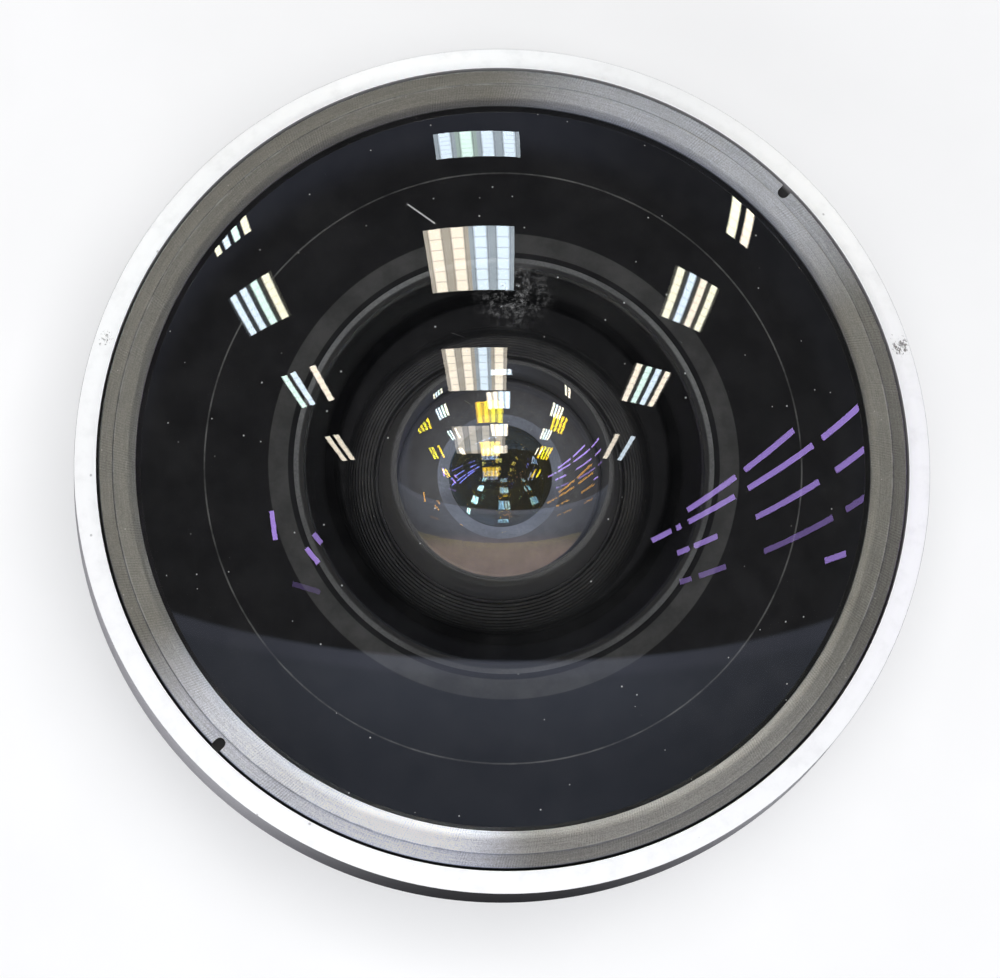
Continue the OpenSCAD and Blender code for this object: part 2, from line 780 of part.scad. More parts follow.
// Brass ring that carries the lens block on its thread; its groove limits the turn
module helicoid_ring() {
    flange_z1 = focus_z0 + helicoid_flange_t;
    groove_half = stop_pin_r + tip_room;
    color(brass) difference() {
        turned([
            [helicoid_in_r, focus_z0], [focus_seat_r, focus_z0], [focus_seat_r, flange_z1],
            [helicoid_out_r, flange_z1], [helicoid_out_r, helicoid_z1], [helicoid_in_r, helicoid_z1]
        ]);
        set_screw_holes(focus_seat_r - set_screw_bite - tip_room, focus_seat_r + cut_over,
            focus_screw_z, focus_screw_angle);
        arc_block(stop_circle_r - groove_half, stop_circle_r + groove_half,
            focus_z0 - cut_over, focus_z0 + stop_rise + side_play,
            stop_angle - focus_angle - 2 * stop_half_angle, stop_angle + 2 * stop_half_angle);
    }
}

module focus_ring_screws() {
    color(steel) set_screws(focus_seat_r, focus_r, focus_screw_z, focus_screw_angle);
}

module lens_barrel() {
    slot_half = arm_half_angle(iris_bore_r);
    glass_2_pocket_r = glass_2_r + seat_fit;
    color(satin_black) difference() {
        turned([
            [iris_bore_r, nose_z1], [rear_barrel_r, nose_z1], [rear_barrel_r, rear_barrel_z1],
            [barrel_r, rear_barrel_z1 + edge_break], [barrel_r, barrel_flange_z],
            [barrel_flange_r, barrel_flange_z], [barrel_flange_r, cell_web_z], [barrel_r, cell_web_z],
            [barrel_r, barrel_top_z], [ring_2_bore_r, barrel_top_z], [ring_2_bore_r, ring_2_seat_z],
            [glass_2_pocket_r, ring_2_seat_z], [glass_2_pocket_r, glass_2_seat_z],
            [glass_2_bore_r, glass_2_seat_z], [glass_2_bore_r, middle_stop_z],
            [middle_bore_r, middle_stop_z], [middle_bore_r, iris_step_z], [iris_bore_r, iris_step_z]
        ]);
        arc_block(iris_bore_r - cut_over, barrel_r + cut_over,
            arm_z0 - arm_room, arm_z0 + arm_t + arm_room,
            fork_angle - slot_half, fork_angle + aperture_angle + slot_half);
        radial_block(key_in_r - cell_gap, barrel_r + cut_over, key_w + 2 * run_fit,
            key_z0 - focus_travel - side_play, key_z0 + key_len + focus_travel + side_play, key_angle);
        on_circle(ring_screw_count, 0)
            post(cell_screw_r + seat_fit, front_screw_circle_r, 0,
                barrel_flange_z - cut_over, cell_web_z + cut_over);
    }
}

// Carries the front glass, and reaches back over the helicoid ring as a skirt
module front_cell() {
    floor_z0 = glass_1_rear_z - cell_wall - edge_break;
    bore_r = barrel_r + cell_gap;
    well_r = baffle_out_r + cell_gap;
    seat_z = bell_z1 - bell_overlap;
    color(black) difference() {
        turned([
            [bore_r, cell_web_z], [skirt_in_r, cell_web_z], [skirt_in_r, skirt_z0], [skirt_out_r, skirt_z0],
            [skirt_out_r, floor_z0 - cell_wall], [skirt_out_r + cell_wall, floor_z0],
            [bell_seat_r - cell_wall, floor_z0], [bell_seat_r - cell_wall, seat_z],
            [bell_seat_r, seat_z], [bell_seat_r, bell_z1], [cell_r, bell_z1],
            [cell_r, glass_1_rear_z + glass_1_pocket], [glass_1_pocket_r, glass_1_rear_z + glass_1_pocket],
            [glass_1_pocket_r, glass_1_rear_z], [well_r + baffle_flare, glass_1_rear_z],
            [well_r, baffle_top_z], [well_r, baffle_z0], [bore_r, baffle_z0]
        ]);
        on_circle(ring_screw_count, 0)
            post(cell_screw_r + seat_fit, front_screw_circle_r, 0,
                cell_web_z - cut_over, cell_web_z + cell_screw_bite + tip_room);
        set_screw_holes(bell_seat_r - set_screw_bite - tip_room, bell_seat_r + cut_over,
            bell_screw_z, focus_screw_angle);
    }
}

module front_cell_screws() {
    seat_z = barrel_flange_z - seat_fit;
    color(steel) on_circle(ring_screw_count, 0) {
        post(cell_screw_head_r, front_screw_circle_r, 0, seat_z - cell_screw_head_t, seat_z);
        post(cell_screw_r, front_screw_circle_r, 0, seat_z - joint_sink, cell_web_z + cell_screw_bite);
    }
}

// Flared shell from the focus ring out to the rim, with a straight collar on the front cell
module front_bell() {
    steps = 12;
    flare_len = bell_collar_z - bell_z0;
    bore_r = bell_seat_r + seat_fit;
    outside = [for (i = [0 : steps]) [bell_out_r(i / steps), bell_z0 + flare_len * i / steps]];
    inside = [for (p = outside) [min(p[0] - bell_wall, bore_r), p[1]]];
    color(black) difference() {
        turned(concat(
            outside, [[rim_r, bell_z1], [bore_r, bell_z1]],
            [for (i = [steps : -1 : 0]) inside[i]]
        ));
        set_screw_holes(bell_seat_r - cut_over, rim_r + cut_over, bell_screw_z, focus_screw_angle);
    }
}

module front_bell_screws() {
    color(steel) set_screws(bell_seat_r, rim_r, bell_screw_z, focus_screw_angle);
}

// Bright rim whose face falls towards its outer edge
module front_rim() {
    face_z = rim_z1 - rim_fall;
    color(bright) turned([
        [rim_in_r, bell_z1], [rim_r - fine_break, bell_z1], [rim_r, bell_z1 + fine_break],
        [rim_r, face_z - rim_edge], [rim_r - rim_edge, face_z],
        [rim_in_r + sharp_break, rim_z1], [rim_in_r, rim_z1 - sharp_break]
    ]);
}

// Ring that screws down on the front glass, with two slots for a spanner
module front_retainer() {
    step_r = view_r + retainer_step_w;
    lip_r = glass_1_r + 2 * cell_gap;
    foot_z = glass_1_rear_z + glass_1_pocket + seat_fit;
    slot_r = retainer_slot_w / 2;
    slot_end_r = retainer_r - retainer_slot_len + slot_r;
    slot_z0 = rim_z1 - retainer_slot_depth;
    color(turned_grey) difference() {
        turned([
            [lip_r, foot_z], [retainer_r, foot_z], [retainer_r, rim_z1 - sharp_break],
            [retainer_r - sharp_break, rim_z1], [step_r + retainer_step_h, rim_z1],
            [step_r, rim_z1 + retainer_step_h], [view_r + cell_gap, rim_z1 - sharp_break],
            [view_r, rim_z1 - rim_edge], [view_r, view_z + retainer_lip_gap],
            [lip_r, glass_1_front(lip_r) + retainer_lip_gap]
        ]);
        for (angle = retainer_slot_angles) {
            post(slot_r, slot_end_r, angle, slot_z0, rim_z1 + cut_over, small_fn);
            radial_block(slot_end_r, retainer_r + cut_over, retainer_slot_w,
                slot_z0, rim_z1 + cut_over, angle);
        }
    }
}

module glass_1() {
    color(glass_tint) difference() {
        intersection() {
            glass_rod(glass_1_r, glass_1_rear_z, crown_z + cut_over);
            ball(glass_1_front_r, crown_z - glass_1_front_r);
        }
        ball(glass_1_rear_r, hollow_z - glass_1_rear_r);
    }
}

// Black ring with fine concentric anti-glare grooves on its funnel
module grooved_baffle() {
    top_r = baffle_out_r - baffle_flat;
    pitch = (top_r - baffle_in_r) / baffle_grooves;
    rise = (baffle_top_z - baffle_foot_z) / baffle_grooves;
    funnel = [for (i = [0 : baffle_grooves - 1], k = [0, 1])
        [baffle_in_r + pitch * (i + k * baffle_land_share),
            baffle_foot_z + rise * (i + k) - baffle_groove_depth * k]];
    color(satin_black) turned(concat(
        [[baffle_in_r, baffle_z0], [baffle_out_r, baffle_z0], [baffle_out_r, baffle_top_z],
            [top_r, baffle_top_z]],
        [for (i = [len(funnel) - 1 : -1 : 0]) funnel[i]]
    ));
}

module glass_2_retainer() {
    lip_r = glass_2_r - ring_2_lip;
    wall_r = glass_2_r + cell_gap;
    foot_z = ring_2_seat_z + seat_fit;
    color(turned_grey) turned([
        [wall_r, foot_z], [ring_2_out_r, foot_z], [ring_2_out_r, ring_2_top_z - cell_gap],
        [ring_2_out_r - cell_gap, ring_2_top_z], [lip_r + ring_2_bevel_w, ring_2_top_z],
        [lip_r, ring_2_top_z - ring_2_bevel_h], [lip_r, glass_2_front(lip_r) + ring_2_gap],
        [wall_r, glass_2_front(wall_r) + ring_2_gap]
    ]);
}

module glass_2() {
    color(glass_tint) difference() {
        intersection() {
            glass_rod(glass_2_r, glass_2_seat_z, glass_2_crown_z + cut_over);
            ball(glass_2_front_r, glass_2_crown_z - glass_2_front_r);
        }
        ball(glass_2_rear_r, glass_2_crown_z - glass_2_t - glass_2_rear_r);
    }
}

module glass_3() {
    joint_z = middle_joint_z + cement_gap;
    color(glass_tint) difference() {
        glass_rod(middle_glass_r, joint_z - sag(middle_joint_r, middle_glass_r), glass_3_front_z);
        ball(glass_3_front_r, glass_3_front_z - glass_3_hollow + glass_3_front_r);
        ball(middle_joint_r, joint_z - middle_joint_r);
    }
}

module glass_4() {
    color(glass_tint) intersection() {
        glass_rod(middle_glass_r, glass_4_crown_z - cut_over, middle_joint_z + cut_over);
        ball(middle_joint_r, middle_joint_z - middle_joint_r);
        ball(glass_4_rear_r, glass_4_crown_z + glass_4_rear_r);
    }
}

module middle_spacer() {
    color(satin_black)
        ring(middle_lip_r, middle_glass_r,
            glass_5_front(middle_lip_r) + glass_gap, glass_4_rear(middle_lip_r) - glass_gap);
}

module glass_5() {
    color(glass_tint) intersection() {
        glass_rod(middle_glass_r, glass_5_tail_z - cut_over, glass_5_crown_z + cut_over);
        ball(glass_5_front_r, glass_5_crown_z - glass_5_front_r);
        ball(glass_5_rear_r, glass_5_tail_z + glass_5_rear_r);
    }
}

module middle_retainer() {
    top_z = glass_5_rear(middle_lip_r) - glass_gap;
    color(turned_grey) ring(middle_lip_r, middle_glass_r, top_z - middle_ring_len, top_z);
}

module iris_plate() {
    color(satin_black) difference() {
        ring(iris_open_r + plate_step, iris_ring_r, iris_plate_z0, iris_plate_z0 + iris_plate_t);
        on_circle(blade_count, 0)
            post(blade_pin_r + pin_fit, pivot_circle_r, 0,
                iris_plate_z0 - cut_over, iris_plate_z0 + iris_plate_t + cut_over, small_fn);
    }
}

// Slot along the path of one blade's drive pin
module cam_slot() {
    half = blade_pin_r + cam_fit;
    slot_z0 = drive_z0 - cut_over;
    slot_h = drive_t + 2 * cut_over;
    points = [for (i = [0 : cam_steps]) cam_point(i / cam_steps)];
    for (p = points)
        translate([p[0], p[1], slot_z0])
            cylinder(r = half, h = slot_h, $fn = small_fn);
    for (i = [0 : cam_steps - 1]) {
        step = points[i + 1] - points[i];
        translate([points[i][0], points[i][1], slot_z0])
            rotate([0, 0, atan2(step[1], step[0])])
                translate([0, -half, 0])
                    cube([norm(step), 2 * half, slot_h]);
    }
}

module iris_drive_ring() {
    color(brass) {
        difference() {
            ring(iris_open_r + drive_step, iris_ring_r, drive_z0, drive_z1);
            on_circle(blade_count, 0) cam_slot();
        }
        radial_block(iris_ring_r - arm_root, arm_tip_r, arm_w, arm_z0, arm_z0 + arm_t, fork_angle);
    }
}

// One thin leaf of the iris with its pivot pin forward and its drive pin behind
module iris_blade(index) {
    z = blade_z0 + index * blade_pitch;
    band_r = iris_open_r + blade_band_w;
    color(steel) rotate([0, 0, index * 360 / blade_count]) {
        arc_block(iris_open_r, band_r, z, z + blade_t, -blade_heel_angle, blade_sweep_angle);
        arc_block(band_r - joint_sink, pivot_circle_r + blade_ear, z, z + blade_t,
            -blade_heel_angle, pin_angle + blade_ear_angle);
        post(blade_pin_r, pivot_circle_r, 0, z, iris_plate_z0 + iris_plate_t - pin_short, small_fn);
        post(blade_pin_r, pivot_circle_r, pin_angle, drive_z0 + pin_short, z + blade_t, small_fn);
    }
}

module iris_blade_1() { iris_blade(0); }
module iris_blade_2() { iris_blade(1); }
module iris_blade_3() { iris_blade(2); }
module iris_blade_4() { iris_blade(3); }
module iris_blade_5() { iris_blade(4); }
module iris_blade_6() { iris_blade(5); }

module rear_cell() {
    stop_z = glass_6_front(rear_lip_r) + rear_stop_gap;
    bore_r = rear_glass_r + seat_fit;
    color(satin_black) turned([
        [bore_r, nose_z0], [nose_r, nose_z0], [nose_r, nose_z1], [iris_ring_r, nose_z1],
        [iris_ring_r, rear_cell_z1], [rear_lip_r, rear_cell_z1], [rear_lip_r, stop_z], [bore_r, stop_z]
    ]);
}

module glass_6() {
    color(glass_tint) intersection() {
        glass_rod(rear_glass_r, rear_joint_z - cut_over, glass_6_crown_z + cut_over);
        ball(glass_6_front_r, glass_6_crown_z - glass_6_front_r);
        ball(rear_joint_r, rear_joint_z + cement_gap + rear_joint_r);
    }
}

module glass_7() {
    color(glass_tint) difference() {
        intersection() {
            glass_rod(rear_glass_r, glass_7_crown_z - cut_over, glass_6_crown_z);
            ball(glass_7_rear_r, glass_7_crown_z + glass_7_rear_r);
        }
        ball(rear_joint_r, rear_joint_z + rear_joint_r);
    }
}

module rear_spacer() {
    color(satin_black)
        ring(rear_spacer_r, rear_glass_r,
            glass_8_front(rear_spacer_r) + glass_gap, glass_7_rear(rear_spacer_r) - glass_gap);
}

module glass_8() {
    color(glass_tint) intersection() {
        glass_rod(rear_glass_r, glass_8_rear_z, glass_8_crown_z + cut_over);
        ball(glass_8_front_r, glass_8_crown_z - glass_8_front_r);
    }
}

module rear_retainer() {
    ring_z0 = nose_z0 + rear_ring_sink;
    color(turned_grey) difference() {
        ring(rear_lip_r, rear_glass_r, ring_z0, glass_8_rear_z - glass_gap);
        for (angle = [0, 180])
            radial_block(rear_lip_r + rear_ring_slot_inset, rear_glass_r + cut_over, rear_ring_slot_w,
                ring_z0 - cut_over, ring_z0 + rear_ring_slot_depth, angle);
    }
}

module rear_filter() {
    color(glass_tint) glass_rod(filter_r, filter_z0, filter_z1);
}

module rear_filter_ring() {
    lip_r = filter_r - filter_lip;
    pocket_r = filter_r + seat_fit;
    thread_in_r = nose_r + seat_fit;
    color(black) turned([
        [lip_r, filter_ring_z0], [filter_ring_r - filter_ring_break, filter_ring_z0],
        [filter_ring_r, filter_ring_z0 + filter_ring_break], [filter_ring_r, filter_ring_z1],
        [thread_in_r, filter_ring_z1], [thread_in_r, filter_z1 + seat_fit], [pocket_r, filter_z1 + seat_fit],
        [pocket_r, filter_z0 - seat_fit], [lip_r, filter_z0 - seat_fit]
    ]);
}

mount_base();
mount_screws();
fixed_barrel();
scale_ring();
scale_ring_screws();
guide_key();
guide_key_screws();
helicoid_retainer();
click_spring();
click_spring_screw();
click_ball();
aperture_ring();
aperture_fork();
aperture_fork_screw();
focus_ring();
helicoid_ring();
focus_ring_screws();
lens_barrel();
front_cell();
front_cell_screws();
front_bell();
front_bell_screws();
front_rim();
front_retainer();
glass_1();
grooved_baffle();
glass_2_retainer();
glass_2();
glass_3();
glass_4();
middle_spacer();
glass_5();
middle_retainer();
iris_plate();
iris_drive_ring();
iris_blade_1();
iris_blade_2();
iris_blade_3();
iris_blade_4();
iris_blade_5();
iris_blade_6();
rear_cell();
glass_6();
glass_7();
rear_spacer();
glass_8();
rear_retainer();
rear_filter();
rear_filter_ring();
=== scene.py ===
import math

import bpy
from mathutils import Matrix, Vector


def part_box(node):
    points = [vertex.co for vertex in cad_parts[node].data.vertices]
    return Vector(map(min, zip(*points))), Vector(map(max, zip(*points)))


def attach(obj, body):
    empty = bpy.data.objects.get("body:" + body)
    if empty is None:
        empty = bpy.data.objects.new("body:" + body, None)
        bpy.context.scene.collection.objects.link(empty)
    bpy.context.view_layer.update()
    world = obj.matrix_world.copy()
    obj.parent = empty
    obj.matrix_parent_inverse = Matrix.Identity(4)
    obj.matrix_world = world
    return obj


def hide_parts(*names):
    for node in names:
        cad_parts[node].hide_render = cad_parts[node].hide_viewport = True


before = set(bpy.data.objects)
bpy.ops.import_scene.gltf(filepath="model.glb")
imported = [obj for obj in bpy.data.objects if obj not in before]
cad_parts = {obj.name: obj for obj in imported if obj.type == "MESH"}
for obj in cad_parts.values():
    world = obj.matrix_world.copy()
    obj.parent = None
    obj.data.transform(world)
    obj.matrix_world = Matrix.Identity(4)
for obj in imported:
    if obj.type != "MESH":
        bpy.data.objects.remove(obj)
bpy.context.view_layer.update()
mm = 0.001
scene = bpy.context.scene
scene.view_settings.view_transform = "Standard"
print("lens frame loaded:", len(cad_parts), "nodes")

# where the photograph was taken from, and where the rim lies in it, in pixels
photoView = {
    "azimuth": -19.0,
    "elevation": 79.8,
    "distance": 0.6,
    "imageSize": (1000, 978),
    "rimCentre": (504.1, 465.5),
    "rimRadius": 429.5,
    "sensor": 36.0,
}

# the room seen in the front glass: dark, with a table below the horizon and a pale wall low behind the lens
room = {
    "horizon": (0.01, 0.89, 0.457),
    "tableLevel": -0.091,
    "edgeLevel": -0.145,
    "nearLevel": -0.5,
    "lampAim": (0, 0, 0.04),
    "dark": (0.03, 0.031, 0.034),
    "wall": (0.12, 0.135, 0.19),
    "tableEdge": (0.47, 0.52, 0.7),
    "tableFar": (0.34, 0.39, 0.52),
    "tableNear": (0.18, 0.21, 0.29),
    "wallHeight": (0.32, 0.16),
    "wallSide": (0.1, 0.5, 0.2),
    "tableSide": (0.3, 0.85, 0.6),
    "lamps": (("topFill", 19.0, 0.36, (-0.03, -0.16, 1.45)), ("lowFill", 4.0, 0.8, (-0.35, -0.7, 1.15))),
}

# ceiling lights: place across and along the ceiling, width, length, one letter a tube with a dot where it is out,
# brightness, and the glow between the tubes
ceiling = {
    "tilt": 28.0,
    "height": 1.6,
    "strength": 13.0,
    "tubeShare": 0.68,
    "gapShare": 0.16,
    "gapShift": 0.42,
    "louvres": 6,
    "colours": {"w": (1.0, 0.9, 0.74), "c": (0.76, 0.89, 1.0), "g": (0.78, 1.0, 0.92), "y": (1.0, 0.98, 0.76)},
    "panels": (
        (-0.845, -0.245, 0.21, 0.13, "ycgy", 1.0, 0.0), (-0.015, -0.24, 0.22, 0.13, "cgcc", 0.85, 0.4),
        (0.835, -0.315, 0.14, 0.3, "yw", 1.0, 0.0),
        (-0.863, 0.19, 0.25, 0.25, "ccgy", 1.0, 0.04), (-0.059, 0.258, 0.265, 0.265, "wwcc", 1.0, 0.4),
        (0.719, 0.25, 0.215, 0.255, "ycwy", 1.0, 0.05),
        (-0.85, 0.728, 0.23, 0.24, "gc.w", 1.0, 0.0), (-0.07, 0.772, 0.25, 0.238, "wwcw", 0.95, 0.38),
        (0.684, 0.766, 0.2, 0.24, "wgcw", 1.0, 0.03),
        (-0.893, 1.24, 0.12, 0.26, "ww", 0.8, 0.0), (-0.075, 1.256, 0.27, 0.24, "wwww", 0.5, 0.45),
        (0.71, 1.254, 0.15, 0.24, "w.c", 0.75, 0.0),
    ),
}

# each strip runs between two directions, cut into panes at shares of its length, with a brightness
windows = {
    "distance": 2.0,
    "width": 0.034,
    "colour": (0.52, 0.34, 1.0),
    "strength": 5.9,
    "strips": (
        ((0.591, -0.037, 0.806), (0.9, 0.384, 0.208), ((0.04, 0.3), (0.35, 0.65)), 1.0),
        ((0.51, -0.125, 0.851), (0.932, 0.322, 0.166),
         ((0.0, 0.08), (0.1, 0.12), (0.15, 0.35), (0.41, 0.73), (0.78, 1.0)), 1.0),
        ((0.521, -0.191, 0.832), (0.959, 0.218, 0.182), ((0.09, 0.14), (0.16, 0.26), (0.43, 0.74), (0.83, 1.0)), 0.85),
        ((0.593, -0.243, 0.768), (0.976, 0.098, 0.195), ((0.0, 0.055), (0.09, 0.22), (0.41, 0.79), (0.87, 1.0)), 0.4),
        ((0.899, -0.126, 0.42), (0.96, -0.062, 0.272), ((0.45, 1.0),), 0.8),
        ((-0.685, -0.022, 0.729), (-0.675, -0.115, 0.729), ((0.0, 1.0),), 1.4),
        ((-0.571, -0.106, 0.814), (-0.547, -0.14, 0.825), ((0.0, 1.0),), 0.9),
        ((-0.591, -0.15, 0.793), (-0.555, -0.201, 0.807), ((0.0, 1.0),), 1.2),
        ((-0.626, -0.255, 0.736), (-0.548, -0.291, 0.784), ((0.0, 1.0),), 0.15),
    ),
}

floorLook = {"size": 8.0, "drop": 0.00005, "colour": (0.49, 0.49, 0.494), "glow": (0.445, 0.445, 0.446),
             "throughGlass": (0.02, 0.02, 0.022), "fibre": 0.96, "rough": 0.9, "shine": 0.1}


def clearSelection():
    bpy.ops.object.select_all(action="DESELECT")


def pickPiece(piece):
    clearSelection()
    piece.select_set(True)
    bpy.context.view_layer.objects.active = piece


def applyPlace():
    bpy.ops.object.transform_apply(location=True, rotation=True, scale=True)


def selectAll():
    bpy.ops.mesh.select_all(action="SELECT")


def openPiece(piece, kind="FACE"):
    pickPiece(piece)
    bpy.ops.object.mode_set(mode="EDIT")
    bpy.ops.mesh.select_mode(type=kind)
    bpy.ops.mesh.select_all(action="DESELECT")


def closePiece():
    bpy.ops.object.mode_set(mode="OBJECT")


def closeShell():
    # normals turned outwards, then back to object mode
    selectAll()
    bpy.ops.mesh.normals_make_consistent(inside=False)
    closePiece()


def mergeDoubles():
    bpy.ops.mesh.remove_doubles(threshold=0.001 * mm)


def selectFaces(piece, wanted):
    # wanted gets a face's centre in millimetres and its normal
    closePiece()
    for face in piece.data.polygons:
        face.select = bool(wanted(face.center / mm, face.normal))
    bpy.ops.object.mode_set(mode="EDIT")


def stepAt(middle, steps):
    # which of a turned piece's steps a face lies in
    return math.floor(math.degrees(math.atan2(middle.y, middle.x)) % 360 / (360 / steps))


def sinkFaces(outR, depth):
    # the chosen faces are pressed in towards the lens axis
    bpy.ops.mesh.extrude_region_move(TRANSFORM_OT_translate={"value": (0, 0, 0)})
    share = (outR - depth) / outR
    bpy.ops.transform.resize(value=(share, share, 1), center_override=(0, 0, 0))
    closePiece()


def sag(ball, r):
    return ball - math.sqrt(ball * ball - r * r)


def dome(ball, crown, r0, r1, count, up=1):
    # points of a ball's surface from one radius to another
    radii = [r0 + (r1 - r0) * i / count for i in range(count + 1)]
    return [(r, crown - up * sag(ball, r)) for r in radii]


def nodeSize(node):
    low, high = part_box(node)
    return max(high.x, high.y) / mm, low.z / mm, high.z / mm


def faceRadius(face):
    return math.hypot(face.center.x, face.center.y) / mm


def drawOutline(name, outline, closed=True):
    # a dot is drawn out along an outline; the piece is left in edit mode with all of it selected
    clearSelection()
    start = outline[0]
    bpy.ops.mesh.primitive_plane_add(size=0.01 * mm, location=(start[0] * mm, 0, start[1] * mm))
    piece = bpy.context.object
    piece.name = piece.data.name = name
    applyPlace()
    openPiece(piece, "VERT")
    selectAll()
    bpy.ops.mesh.merge(type="CENTER")
    for here, there in zip(outline, outline[1:] + ([start] if closed else [])):
        move = ((there[0] - here[0]) * mm, 0, (there[1] - here[1]) * mm)
        bpy.ops.mesh.extrude_vertices_move(TRANSFORM_OT_translate={"value": move})
    selectAll()
    return piece


def turnPiece(name, outline, steps=192, closed=True, smooth=32):
    # an outline of radii and heights is spun round the lens axis
    piece = drawOutline(name, outline, closed)
    bpy.ops.mesh.spin(steps=steps, angle=math.tau, center=(0, 0, 0), axis=(0, 0, 1))
    selectAll()
    mergeDoubles()
    closeShell()
    shadePiece(piece, smooth)
    return piece


def softenEdges(piece, width, angle=40):
    pickPiece(piece)
    bevel = piece.modifiers.new("softEdge", "BEVEL")
    bevel.width = width * mm
    bevel.segments = 2
    bevel.limit_method = "ANGLE"
    bevel.angle_limit = math.radians(angle)
    bevel.use_clamp_overlap = True
    bpy.ops.object.modifier_apply(modifier=bevel.name)


def cutAway(piece, cutter):
    pickPiece(piece)
    cut = piece.modifiers.new("cutAway", "BOOLEAN")
    cut.operation = "DIFFERENCE"
    cut.solver = "EXACT"
    cut.object = cutter
    bpy.ops.object.modifier_apply(modifier=cut.name)
    bpy.data.objects.remove(cutter, do_unlink=True)


def joinPieces(pieces, name):
    clearSelection()
    for piece in pieces:
        piece.select_set(True)
    bpy.context.view_layer.objects.active = pieces[0]
    if len(pieces) > 1:
        bpy.ops.object.join()
    pieces[0].name = pieces[0].data.name = name
    return pieces[0]


def shadePiece(piece, angle=30):
    pickPiece(piece)
    bpy.ops.object.shade_smooth_by_angle(angle=math.radians(angle))


def rodAlong(r, length, place, turn, facets=32):
    # a round rod on a radius: turn is its angle round the lens, place its middle as radius and height
    clearSelection()
    x, y = place[0] * math.cos(turn) * mm, place[0] * math.sin(turn) * mm
    bpy.ops.mesh.primitive_cylinder_add(
        vertices=facets, radius=r * mm, depth=length * mm, location=(x, y, place[1] * mm),
        rotation=(0, math.pi / 2, turn))
    applyPlace()
    return bpy.context.object


def post(r, length, circle, turn, height, facets=40):
    # an upright rod: its middle lies on a circle round the lens, at an angle and a height
    clearSelection()
    bpy.ops.mesh.primitive_cylinder_add(
        vertices=facets, radius=r * mm, depth=length * mm,
        location=(circle * math.cos(turn) * mm, circle * math.sin(turn) * mm, height * mm))
    applyPlace()
    return bpy.context.object


def drillScrews(piece, sizes, outR, height):
    for turn in sizes["screwTurns"]:
        cutAway(piece, rodAlong(sizes["screwR"], sizes["screwHole"], (outR, height), math.radians(turn)))


def bentBlock(radii, heights, turns):
    # a block bent round the lens axis, between two radii, heights and turns in degrees
    clearSelection()
    bpy.ops.mesh.primitive_plane_add(
        size=1, location=(sum(radii) / 2 * mm, 0, sum(heights) / 2 * mm), rotation=(math.pi / 2, 0, 0))
    block = bpy.context.object
    block.scale = ((radii[1] - radii[0]) * mm, (heights[1] - heights[0]) * mm, 1)
    applyPlace()
    openPiece(block)
    selectAll()
    # the spin runs clockwise, from the last turn to the first
    bpy.ops.mesh.spin(steps=24, angle=math.radians(turns[1] - turns[0]), center=(0, 0, 0), axis=(0, 0, 1))
    closeShell()
    block.rotation_euler.z = math.radians(turns[1])
    applyPlace()
    return block


def dressPiece(piece, body, node, slot, *materials):
    for material in materials:
        piece.data.materials.append(material)
    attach(piece, body)
    if node:
        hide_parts(*([node] if isinstance(node, str) else node))


def feed(tree, socket, value):
    if isinstance(value, bpy.types.NodeSocket):
        tree.links.new(value, socket)
    else:
        socket.default_value = value


def addNode(tree, kind, values=None, **settings):
    item = tree.nodes.new("ShaderNode" + kind)
    for key, value in settings.items():
        setattr(item, key, value)
    for key, value in (values or {}).items():
        feed(tree, item.inputs[key], value)
    return item


def calc(tree, operation, first, second=0.0):
    return addNode(tree, "Math", {0: first, 1: second}, operation=operation).outputs[0]


def times(tree, first, second):
    return calc(tree, "MULTIPLY", first, second)


def plus(tree, first, second):
    return calc(tree, "ADD", first, second)


def minus(tree, first, second):
    return calc(tree, "SUBTRACT", first, second)


def absolute(tree, value):
    return calc(tree, "ABSOLUTE", value)


def between(tree, value, low, high, outLow=0.0, outHigh=1.0):
    item = addNode(tree, "MapRange", {0: value, 1: low, 2: high, 3: outLow, 4: outHigh})
    item.interpolation_type = "SMOOTHSTEP"
    return item.outputs[0]


def blendColour(tree, factor, first, second, mode="MIX"):
    item = addNode(tree, "Mix", data_type="RGBA", blend_type=mode)
    for socket, value in ((0, factor), (6, first), (7, second)):
        if isinstance(value, tuple) and len(value) == 3:
            value = value + (1.0,)
        feed(tree, item.inputs[socket], value)
    return item.outputs[2]


def toned(tree, colour, shade):
    grey = addNode(tree, "CombineColor", {0: shade, 1: shade, 2: shade}).outputs[0]
    return blendColour(tree, 1.0, colour, grey, "MULTIPLY")


def awayFrom(tree, at, spot):
    return addNode(tree, "VectorMath", {0: at["place"], 1: spot}, operation="DISTANCE").outputs["Value"]


def fill(tree, shader, values):
    for name, value in values.items():
        feed(tree, shader.inputs[name], value)


def lensPlace(tree):
    # object coordinates in millimetres, with the radius and angle round the lens axis
    coords = addNode(tree, "TexCoord")
    place = addNode(tree, "VectorMath", {0: coords.outputs["Object"], 3: 1 / mm}, operation="SCALE").outputs[0]
    split = addNode(tree, "SeparateXYZ", {0: place})
    x, y, z = split.outputs[0], split.outputs[1], split.outputs[2]
    squares = plus(tree, times(tree, x, x), times(tree, y, y))
    return {"place": place, "x": x, "y": y, "z": z, "r": calc(tree, "SQRT", squares),
            "angle": calc(tree, "ARCTAN2", y, x)}


def grain(tree, place, scale, detail=3.0, rough=0.55):
    return addNode(tree, "TexNoise", {"Vector": place, "Scale": scale, "Detail": detail, "Roughness": rough}).outputs[0]


def latheLines(tree, at, perMm, detail=4.0):
    along = plus(tree, at["r"], at["z"])
    noise = addNode(tree, "TexNoise", {"W": along, "Scale": perMm, "Detail": detail, "Roughness": 0.6},
                    noise_dimensions="1D")
    return noise.outputs[0]


